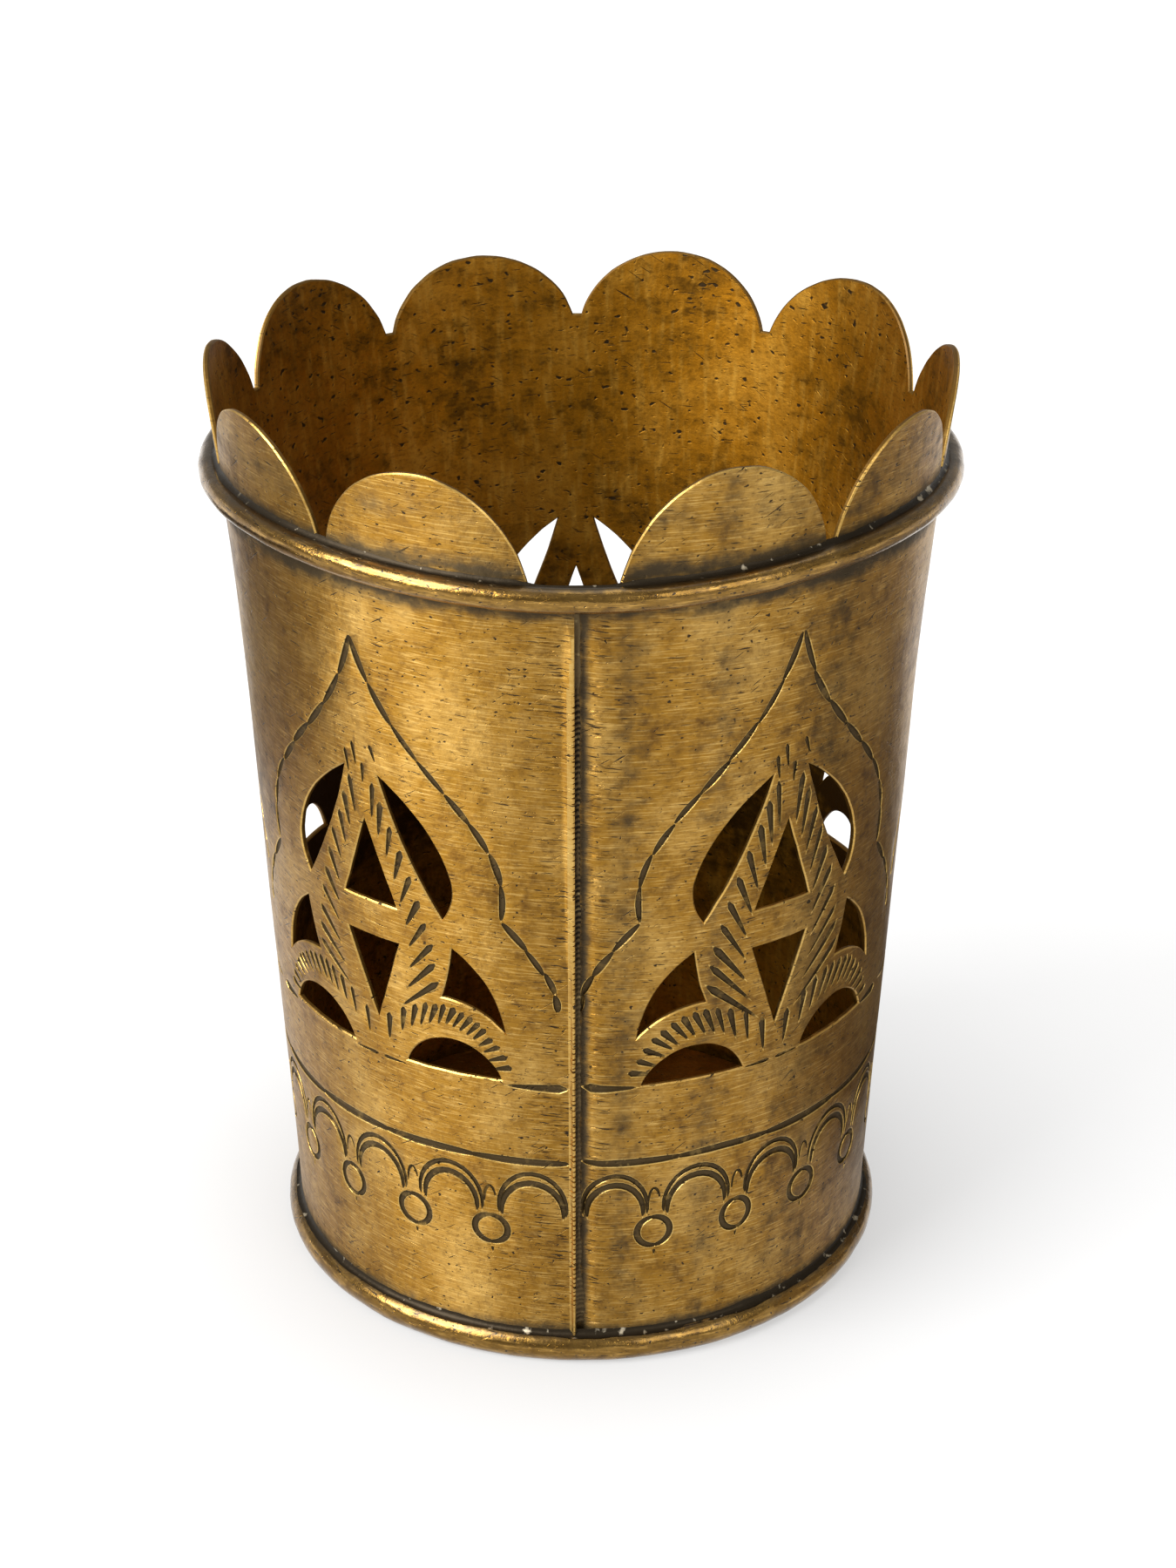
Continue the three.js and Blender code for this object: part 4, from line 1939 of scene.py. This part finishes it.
    def ridge(self, x: float, z: float) -> float:
        """Gives the height of the burnished ridge along the lapped edge.

        Args:
            x: the place across the flat sheet.
            z: the place up it.

        Returns:
            The ridge's height there.
        """
        lap = self.lap
        away = self.right - x
        if away > 2 * lap.ridge_width:
            return 0.0
        taper = smoothstep(z, lap.ridge_top, lap.ridge_top - lap.ridge_taper)
        slim = mix(lap.ridge_slim, 1.0, smoothstep(z, *lap.slim_span))
        share, size = lap.width_wander
        width = lap.ridge_width * slim * mix(lap.ridge_end, 1.0, taper)
        width *= 1.0 + share * wander(z / size, 0.0, seed=2.0)
        rise = smoothstep(away, width, lap.crown) - lap.lip_drop * smoothstep(away, lap.lip, 0.0)
        share, size = lap.height_wander
        return lap.ridge_height * taper * rise * (1.0 + share * wander(z / size, 0.0, seed=5.0))


@dataclass
class WireRing:
    """A ring of wire soldered round the wall, its back filed flat to lie on it."""

    form: CupForm
    node: str
    wire_radius: float
    middle_z: float
    flat: float
    section: int = 24
    steps: int = 240
    uneven: float = 0.08
    lump_size: float = 4.0
    fine_size: float = 1.1
    fine_share: float = 0.5
    sink: float = 1.3
    sharp_angle: float = 50.0

    MAP_RADIUS = 1.4

    def build(self, material: Material) -> Object:
        """Spins the wire round and beds it on the wall.

        Args:
            material: the ring's finish.

        Returns:
            The finished ring.
        """
        back = self.form.radius(self.middle_z) + self.form.joint
        middle = back + self.wire_radius - self.flat
        bpy.ops.object.select_all(action="DESELECT")
        bpy.ops.mesh.primitive_circle_add(
            vertices=self.section,
            radius=self.wire_radius * MM,
            location=(middle * MM, 0.0, self.middle_z * MM),
            rotation=(math.pi / 2, 0.0, 0.0),
        )
        ring = bpy.context.object
        ring.name = ring.data.name = self.node + "_dressed"
        bpy.ops.object.transform_apply(location=True, rotation=True, scale=True)
        spin_round(ring, self.steps)
        self.keep_strip_map(ring)
        self.bed(ring)
        smooth(ring, self.sharp_angle)
        ring.data.materials.append(material)
        hand_in(ring, self.node)
        return ring

    def keep_strip_map(self, ring: Object) -> None:
        """Maps the ring as a strip: millimetres round the cup, and round its own section.

        Args:
            ring: the spun ring, at its place in metres.
        """
        mesh = ring.data
        centre_r = sum(math.hypot(v.co.x, v.co.y) for v in mesh.vertices) / len(mesh.vertices)
        centre_z = sum(v.co.z for v in mesh.vertices) / len(mesh.vertices)
        strip = mesh.uv_layers.new(name="sheet")
        for face in mesh.polygons:
            turn = math.atan2(face.center.x, -face.center.y)
            roll = math.atan2(face.center.z - centre_z,
                              math.hypot(face.center.x, face.center.y) - centre_r)
            for i in face.loop_indices:
                spot = mesh.vertices[mesh.loops[i].vertex_index].co
                rise = math.atan2(spot.z - centre_z, math.hypot(spot.x, spot.y) - centre_r)
                around = turn + math.remainder(math.atan2(spot.x, -spot.y) - turn, 2 * math.pi)
                about = roll + math.remainder(rise - roll, 2 * math.pi)
                strip.data[i].uv = (around * self.form.shoulder_radius / MAP_UNIT,
                                    about * self.MAP_RADIUS / MAP_UNIT)

    def bed(self, ring: Object) -> None:
        """Lays the ring on the wall and the table, with the unevenness of a filed wire.

        Args:
            ring: the spun ring.
        """
        form, broad, fine = self.form, self.lump_size, self.fine_size
        for v in ring.data.vertices:
            x, y, z = v.co / MM
            angle = math.degrees(math.atan2(x, -y))
            radius = math.hypot(x, y)
            lump = self.uneven * noise.noise(Vector((x / broad, y / broad, z)))
            grain = noise.noise(Vector((x / fine, y / fine, z / fine)))
            lump += self.fine_share * self.uneven * grain
            low = z - (form.sag(angle) if z > form.height / 2 else 0.0)
            radius += form.radius(low) - form.radius(z) + lump - self.sink * self.uneven
            radius = max(radius, form.radius(low) + form.joint)
            v.co = form.polar(angle, radius, max(low, 0.0))


@dataclass
class SolderRing:
    """A run of solder in the corner between a ring or disc and the wall."""

    form: CupForm
    node: str
    corner: Point
    legs: Point
    sags: bool = False
    section: int = 7
    steps: int = 300
    hollow: float = 0.15
    uneven: float = 0.16
    swell_size: float = 5.0
    swell_share: float = 2.2
    fine_scale: float = 6.0
    seam_share: float = 0.3
    seam_span: Point = (5.0, 9.0)
    sharp_angle: float = 50.0

    def build(self, material: Material) -> Object:
        """Spins the run round, with the lumps of hand soldering.

        Args:
            material: the solder.

        Returns:
            The finished run.
        """
        bpy.ops.object.select_all(action="DESELECT")
        bpy.ops.mesh.primitive_circle_add(vertices=self.section, radius=MM)
        run = bpy.context.object
        run.name = run.data.name = self.node + "_dressed"
        for i, v in enumerate(run.data.vertices):
            out, up = self.outline(i)
            v.co = (out * MM, 0.0, up * MM)
        spin_round(run, self.steps)
        self.lay(run)
        smooth(run, self.sharp_angle)
        run.data.materials.append(material)
        hand_in(run, self.node)
        return run

    def outline(self, number: int) -> Point:
        """Gives a point of the run's section: a hollow fillet, with its corner as the last point.

        Args:
            number: the point's number.

        Returns:
            Its radius and its height.
        """
        last = self.section - 1
        if number == last:
            return self.corner
        wide, tall = self.legs
        fillet = (wide, 0.0), (self.hollow * wide, self.hollow * tall), (0.0, tall)
        out, up = bezier(fillet, number / (last - 1))
        return self.corner[0] + out, self.corner[1] + up

    def lay(self, run: Object) -> None:
        """Lets the run swell, thin out and follow the bead.

        Args:
            run: the spun run.
        """
        form = self.form
        for v in run.data.vertices:
            x, y, z = v.co / MM
            angle = math.degrees(math.atan2(x, -y))
            spot = Vector((x / self.swell_size, y / self.swell_size, 1.0))
            swell = 1.0 + self.swell_share * self.uneven * noise.noise(spot)
            swell += self.uneven * noise.noise(spot * self.fine_scale)
            if self.sags:
                swell *= mix(self.seam_share, 1.0, smoothstep(abs(angle), *self.seam_span))
            radius = self.corner[0] + (math.hypot(x, y) - self.corner[0]) * swell
            high = self.corner[1] + (z - self.corner[1]) * swell
            low = high - (form.sag(angle) if self.sags else 0.0)
            v.co = form.polar(angle, radius + form.radius(low) - form.radius(high), low)


@dataclass
class SeamSolder:
    """The solder drawn down the corner of the lap, cut across by the file."""

    form: CupForm
    low: float = 4.1
    high: float = 85.6
    leg: float = 0.5
    swell: tuple[Point, ...] = ((0.4, 3.0), (0.3, 0.9))
    foot_swell: float = 0.8
    foot_span: Point = (14.0, 5.0)
    rise: float = 0.5
    rise_ease: float = 1.4
    rise_end: float = 0.97
    rows: int = 780
    columns: int = 5
    notch: float = 0.16
    notch_pitch: float = 0.58
    notch_shake: float = 0.2
    notch_sides: Point = (0.4, 0.14)
    notch_top: Point = (79.0, 75.0)
    notch_slope: float = 0.3
    light_share: float = 0.45
    light_span: Point = (40.0, 52.0)
    patch_size: float = 3.0
    patch_span: Point = (-0.75, -0.3)
    lump: float = 0.05
    lump_size: float = 0.7
    thinnest: float = 0.02
    bury: float = 0.15
    sharp_angle: float = 40.0

    def build(self, material: Material) -> Object:
        """Draws the strip out of a grid and lays it in the corner.

        Args:
            material: the solder.

        Returns:
            The finished run.
        """
        bpy.ops.object.select_all(action="DESELECT")
        bpy.ops.mesh.primitive_grid_add(
            x_subdivisions=self.columns, y_subdivisions=self.rows, size=1.0
        )
        run = bpy.context.object
        run.name = run.data.name = "seam_solder_dressed"
        with edit_mode(run):
            bpy.ops.mesh.extrude_region_move(TRANSFORM_OT_translate={"value": (0.0, 0.0, -1.0)})
            bpy.ops.mesh.select_all(action="SELECT")
            bpy.ops.mesh.normals_make_consistent(inside=False)
        self.lay(run)
        smooth(run, self.sharp_angle)
        run.data.materials.append(material)
        hand_in(run, "seam_solder")
        return run

    def lay(self, run: Object) -> None:
        """Lays the strip in the corner, and keeps how deep the file cut for the finish.

        Args:
            run: the strip, one unit wide, long and thick.
        """
        form = self.form
        notches = run.data.attributes.new("notch", "FLOAT", "POINT")
        for i, v in enumerate(run.data.vertices):
            across, up, under = v.co.x + 0.5, v.co.y + 0.5, v.co.z < -0.5
            z = mix(self.low, self.high, up)
            angle = math.degrees(across * self.leg_at(z) / form.radius(z))
            face = form.radius(z) - form.dip(angle) + form.buckle(angle, z)
            heap = self.rise * (1.0 - across) ** self.rise_ease * smoothstep(up, 1.0, self.rise_end)
            cut = self.cut_at(z)
            patch = wander(z / self.patch_size, across, seed=7.0)
            notches.data[i].value = cut * smoothstep(patch, *self.patch_span)
            lump = self.lump * wander(z / self.lump_size, across, seed=3.0)
            top = heap - self.notch * cut * (self.notch_slope + across) + lump
            lift = -self.bury if under else max(self.thinnest, top)
            v.co = form.polar(angle, face + lift, z)

    def leg_at(self, z: float) -> float:
        """Gives how far the solder reaches out on the wall at a height, further at the foot."""
        broad, fine = (share * wander(z / size, 0.0, seed=6.0) for share, size in self.swell)
        return self.leg * (1.0 + broad + fine + self.foot_swell * smoothstep(z, *self.foot_span))

    def cut_at(self, z: float) -> float:
        """Gives how deep the file cut at a height.

        Args:
            z: the height.

        Returns:
            The share of a notch's depth.
        """
        shaken = z + self.notch_shake * wander(z, 0.0, seed=1.0)
        saw = abs(math.remainder(shaken, self.notch_pitch)) / self.notch_pitch
        cut = smoothstep(saw, *self.notch_sides) * smoothstep(z, *self.notch_top)
        return cut * mix(self.light_share, 1.0, smoothstep(z, *self.light_span))


@dataclass
class FloorDisc:
    """The disc that the glass stands on."""

    form: CupForm
    thick: float = 0.8
    lift: float = 1.6
    sides: int = 160
    bevel: float = 0.15
    bevel_steps: int = 2
    sharp_angle: float = 30.0

    def build(self, material: Material) -> Object:
        """Turns the disc, breaks its edges and maps its face.

        Args:
            material: the disc's finish.

        Returns:
            The finished disc.
        """
        form = self.form
        radius = form.radius(self.lift) - 2 * form.sheet - form.lap_gap - form.joint
        bpy.ops.object.select_all(action="DESELECT")
        bpy.ops.mesh.primitive_cylinder_add(
            vertices=self.sides,
            radius=radius * MM,
            depth=self.thick * MM,
            location=(0.0, 0.0, (self.lift + self.thick / 2) * MM),
        )
        disc = bpy.context.object
        disc.name = disc.data.name = "floor_disc_dressed"
        bpy.ops.object.transform_apply(location=True, rotation=True, scale=True)
        apply_modifier(disc, "BEVEL", width=self.bevel * MM, segments=self.bevel_steps,
                       limit_method="ANGLE")
        with edit_mode(disc):
            bpy.ops.mesh.quads_convert_to_tris()
        plan = disc.data.uv_layers.new(name="sheet")
        for loop in disc.data.loops:
            spot = disc.data.vertices[loop.vertex_index].co / MM
            plan.data[loop.index].uv = (spot.x / MAP_UNIT, spot.y / MAP_UNIT)
        smooth(disc, self.sharp_angle)
        disc.data.materials.append(material)
        hand_in(disc, "floor_disc")
        return disc


# Studio


@dataclass(frozen=True)
class Lamp:
    """A soft square lamp: its angles right of the front and above the floor, metres and watts."""

    name: str
    turn: float
    rise: float
    away: float
    size: float
    watts: float


@dataclass
class Studio:
    """The pale floor, the lamps, the grey cards at both sides and the camera."""

    focal: float = 3358.3
    image: tuple[int, int] = (1350, 1800)
    axis_pixel: float = 667.13
    sensor: float = 36.0
    nearest: float = 10.0
    distance: float = 310.28
    elevation: float = 25.573
    turn: float = 1.0
    target_z: float = 50.95
    floor_reach: float = 4000.0
    floor_rim: float = 400.0
    floor_sides: int = 96
    floor_drop: float = 0.02
    room_light: float = 0.42
    room_colour: str = "#f4f2ee"
    lamps: tuple[Lamp, ...] = (
        Lamp("key_lamp", -58.0, 38.0, 0.95, 0.6, 16.0),
        Lamp("fill_lamp", 40.0, 30.0, 0.95, 0.5, 2.2),
        Lamp("top_lamp", 150.0, 75.0, 1.0, 0.6, 2.0),
    )
    card_turn: float = 95.0
    card_distance: float = 72.0
    card_lean: float = 40.0
    card_width: float = 75.0
    card_heights: Point = (42.0, 88.0)
    card_lifts: Point = (36.0, 0.5)
    card_shades: tuple[tuple[str, str], ...] = (("#f4f1ea", "#635e56"), ("#979189", "#a8a39a"))

    def build(self) -> None:
        """Sets up the studio."""
        scene = bpy.context.scene
        scene.view_settings.view_transform = "Standard"
        world = bpy.data.worlds.new("soft_room")
        world.use_nodes = True
        background = world.node_tree.nodes["Background"]
        background.inputs["Color"].default_value = linear(self.room_colour)
        background.inputs["Strength"].default_value = self.room_light
        scene.world = world
        self.floor()
        for side in (-1, 1):
            self.card(side)
        self.camera()
        for lamp in self.lamps:
            self.hang(lamp)

    def toward(self, turn: float, rise: float) -> Vector:
        """Gives the direction at an angle right of the front and above the floor."""
        a, b = math.radians(turn), math.radians(rise)
        return Vector((math.cos(b) * math.sin(a), -math.cos(b) * math.cos(a), math.sin(b)))

    def camera(self) -> None:
        """Sets the camera at the viewing angle of the photograph."""
        away = self.toward(self.turn, self.elevation)
        target = Vector((0.0, 0.0, self.target_z * MM))
        bpy.ops.object.camera_add(
            location=target + away * self.distance * MM,
            rotation=(-away).to_track_quat("-Z", "Y").to_euler(),
        )
        camera = bpy.context.object
        lens = camera.data
        lens.sensor_fit = "VERTICAL"
        lens.sensor_height = self.sensor
        lens.lens = lens.sensor_height * self.focal / self.image[1]
        lens.shift_x = (self.image[0] / 2 - self.axis_pixel) / self.image[1]
        lens.clip_start = self.nearest * MM
        bpy.context.scene.camera = camera

    def hang(self, lamp: Lamp) -> None:
        """Hangs a lamp so that it faces the holder.

        Args:
            lamp: the lamp.
        """
        heading = self.toward(lamp.turn, lamp.rise)
        bpy.ops.object.light_add(
            type="AREA",
            location=heading * lamp.away + Vector((0.0, 0.0, self.target_z * MM)),
            rotation=(-heading).to_track_quat("-Z", "Y").to_euler(),
        )
        light = bpy.context.object
        light.name = lamp.name
        light.data.shape = "SQUARE"
        light.data.size = lamp.size
        light.data.energy = lamp.watts

    def floor(self) -> None:
        """Lays the pale floor, with its far edge turned up as a backdrop."""
        bpy.ops.object.select_all(action="DESELECT")
        bpy.ops.mesh.primitive_circle_add(
            vertices=self.floor_sides,
            radius=self.floor_reach * MM,
            fill_type="NGON",
            location=(0.0, 0.0, -self.floor_drop * MM),
        )
        floor = bpy.context.object
        floor.name = "floor"
        rim = {"value": (0.0, 0.0, self.floor_rim * MM)}
        with edit_mode(floor):
            bpy.ops.mesh.select_mode(type="EDGE")
            bpy.ops.mesh.region_to_loop()
            bpy.ops.mesh.extrude_edges_move(TRANSFORM_OT_translate=rim)
        floor.data.materials.append(WhitePaper("paper_white_matt").build())

    def card(self, side: int) -> None:
        """Leans a grey card over the holder's side, seen only in the metal.

        Args:
            side: 1 right of the holder, -1 left of it.
        """
        heading = self.toward(side * self.card_turn, 0.0)
        facing = self.toward(side * self.card_turn, -self.card_lean)
        which = 0 if side < 0 else 1
        height = self.card_heights[which]
        lift = self.card_lifts[which] + height / 2 * math.cos(math.radians(self.card_lean))
        bpy.ops.object.select_all(action="DESELECT")
        bpy.ops.mesh.primitive_plane_add(
            size=1.0,
            location=heading * self.card_distance * MM + Vector((0.0, 0.0, lift * MM)),
            rotation=facing.to_track_quat("Z", "Y").to_euler(),
        )
        card = bpy.context.object
        card.name = "card_right" if side > 0 else "card_left"
        card.scale = (self.card_width * MM, height * MM, 1.0)
        card.data.materials.append(GreyCard("grey_" + card.name, *self.card_shades[which]).build())
        card.visible_camera = card.visible_shadow = card.visible_diffuse = False


def sheet_finishes() -> dict[Face, Material]:
    """Makes the finishes of the wall's four kinds of face.

    Returns:
        The finish of each kind of face.
    """
    # Brushed, waxed and handled: fine lines round the cup in dull gold. It is darker in bands under
    # and over the bead, over the foot ring and beside the lap, and a little darker over the lobes
    # and just right of the seam.
    outside = AgedBrass(
        "brass_sheet_brushed_and_aged",
        dirt_and_shade_lines=(
            SheetLine("Y", 86.2, 3.8), SheetLine("Y", 89.0, 3.6, 0.82), SheetLine("Y", 2.6, 3.2),
            SheetLine("X", 0.8, 1.5, 0.85), SheetLine("Y", 94.0, 9.0, 0.5), SheetLine("X", 14.0, 10.0, 0.5),
            SheetLine("X", 5.0, 8.0, 0.5), SheetLine("X", 27.0, 20.0, 0.5),
        ),
        combed=(SheetLine("X", 0.6, 5.0), SheetLine("X", 216.4, 5.5)),
    )
    # Never polished inside the cup: a deep amber, with painted shade that turns it brown round its
    # middle height.
    inside = AgedBrass(
        "brass_sheet_darkened_inside", ground="#966411", bright="#b78a35", tarnish="#573909",
        patina_and_shade="#3a2508", tarnish_share=0.6, wax=0.1, brush_length=1.1, brush_width=6.0,
        # Painted shade: the line at 44 mm lays the patina colour over the middle of the inside,
        # where little light gets in.
        pit_size=0.8, pit_share=0.62, roughness=0.5, brushed=0.3, dirt_and_shade_lines=(SheetLine("Y", 44.0, 38.0),),
    )
    # Left as the saw and the file cut it: a pale line round every window and lobe.
    sawn = ChasedBrass(
        "brass_edge_sawn_and_filed", ground="#bb954c", bright="#d6b66e", tarnish="#a9803a",
        patina_and_shade="#5f4316", tarnish_share=0.3, roughness=0.34, brushed=0.0, lip=0.12, floor=0.26,
        dust="#6b4c1a", dust_from=0.3, dust_to=0.5,
    )
    # Cut bright, then filled with dirt: every stroke has a light lip and a dark bed.
    chased = ChasedBrass(
        "brass_groove_chased", ground="#c9a55a", bright="#e2c480", tarnish="#7d5e2d",
        patina_and_shade="#33291c", wax=0.0, roughness=0.32, brushed=0.0,
    )
    kinds = {Face.OUTSIDE: outside, Face.INSIDE: inside, Face.SAWN: sawn, Face.CHASED: chased}
    return {face: finish.build() for face, finish in kinds.items()}


def main() -> None:
    """Builds the holder, its finishes and the studio, piece by piece."""
    logging.basicConfig(level=logging.INFO, format="%(name)s: %(message)s")
    form = CupForm()
    finishes = sheet_finishes()
    # Drawn and rubbed smooth by hands: dark brass with one sharp highlight along the wire, and
    # painted shade, with some dirt, on its upper side.
    wire = AgedBrass(
        "brass_wire_drawn_and_polished", ground="#7c5b1e", bright="#c89e52", tarnish="#4f3510",
        tarnish_share=0.35, wax=0.4, wax_roughness=0.2, brush_width=0.3, roughness=0.16,
        # Painted shade, with some dirt: the line lays the patina colour on the upper side of the
        # wire's section.
        brushed=0.0, cloud_size=9.0, dirt_and_shade_lines=(SheetLine("Y", 2.3, 2.6, 0.85),),
    ).build()
    # Melted by hand and dulled by age: a grey skin with a few silver specks.
    solder = SoftSolder("solder_soft_tarnished").build()
    # The same, with soot and dirt in the seam: a brown line without a shine.
    seam = SoftSolder("solder_soft_blackened", skin="#5a4a30", metal="#8a7852").build()
    # Out of reach of any cloth: a soft brown, with little to mirror.
    disc = AgedBrass(
        "brass_disc_darkened", ground="#a8762a", bright="#c4954a", tarnish="#7a5118",
        tarnish_share=0.6, wax=0.1, brushed=0.0,
    ).build()

    WallSheet(form).build(finishes)
    bead_z, foot_z = form.bead_z, form.foot_z
    WireRing(form, "rim_bead", wire_radius=1.2, middle_z=bead_z, flat=0.45).build(wire)
    WireRing(form, "foot_ring", wire_radius=1.6, middle_z=foot_z, flat=1.7).build(wire)
    bead_corner = form.radius(bead_z) + form.joint, bead_z + form.bead_solder_lift
    foot_corner = form.radius(foot_z) + form.joint, form.foot_solder_z
    SolderRing(form, "rim_solder", bead_corner, legs=(0.8, 0.65), sags=True).build(solder)
    SolderRing(form, "foot_solder", foot_corner, legs=(0.6, 0.6)).build(solder)
    SolderRing(form, "floor_solder", form.floor_corner(), legs=(-1.9, -0.8)).build(solder)
    SeamSolder(form).build(seam)
    FloorDisc(form).build(disc)
    Studio().build()


if __name__ == "__main__":
    main()
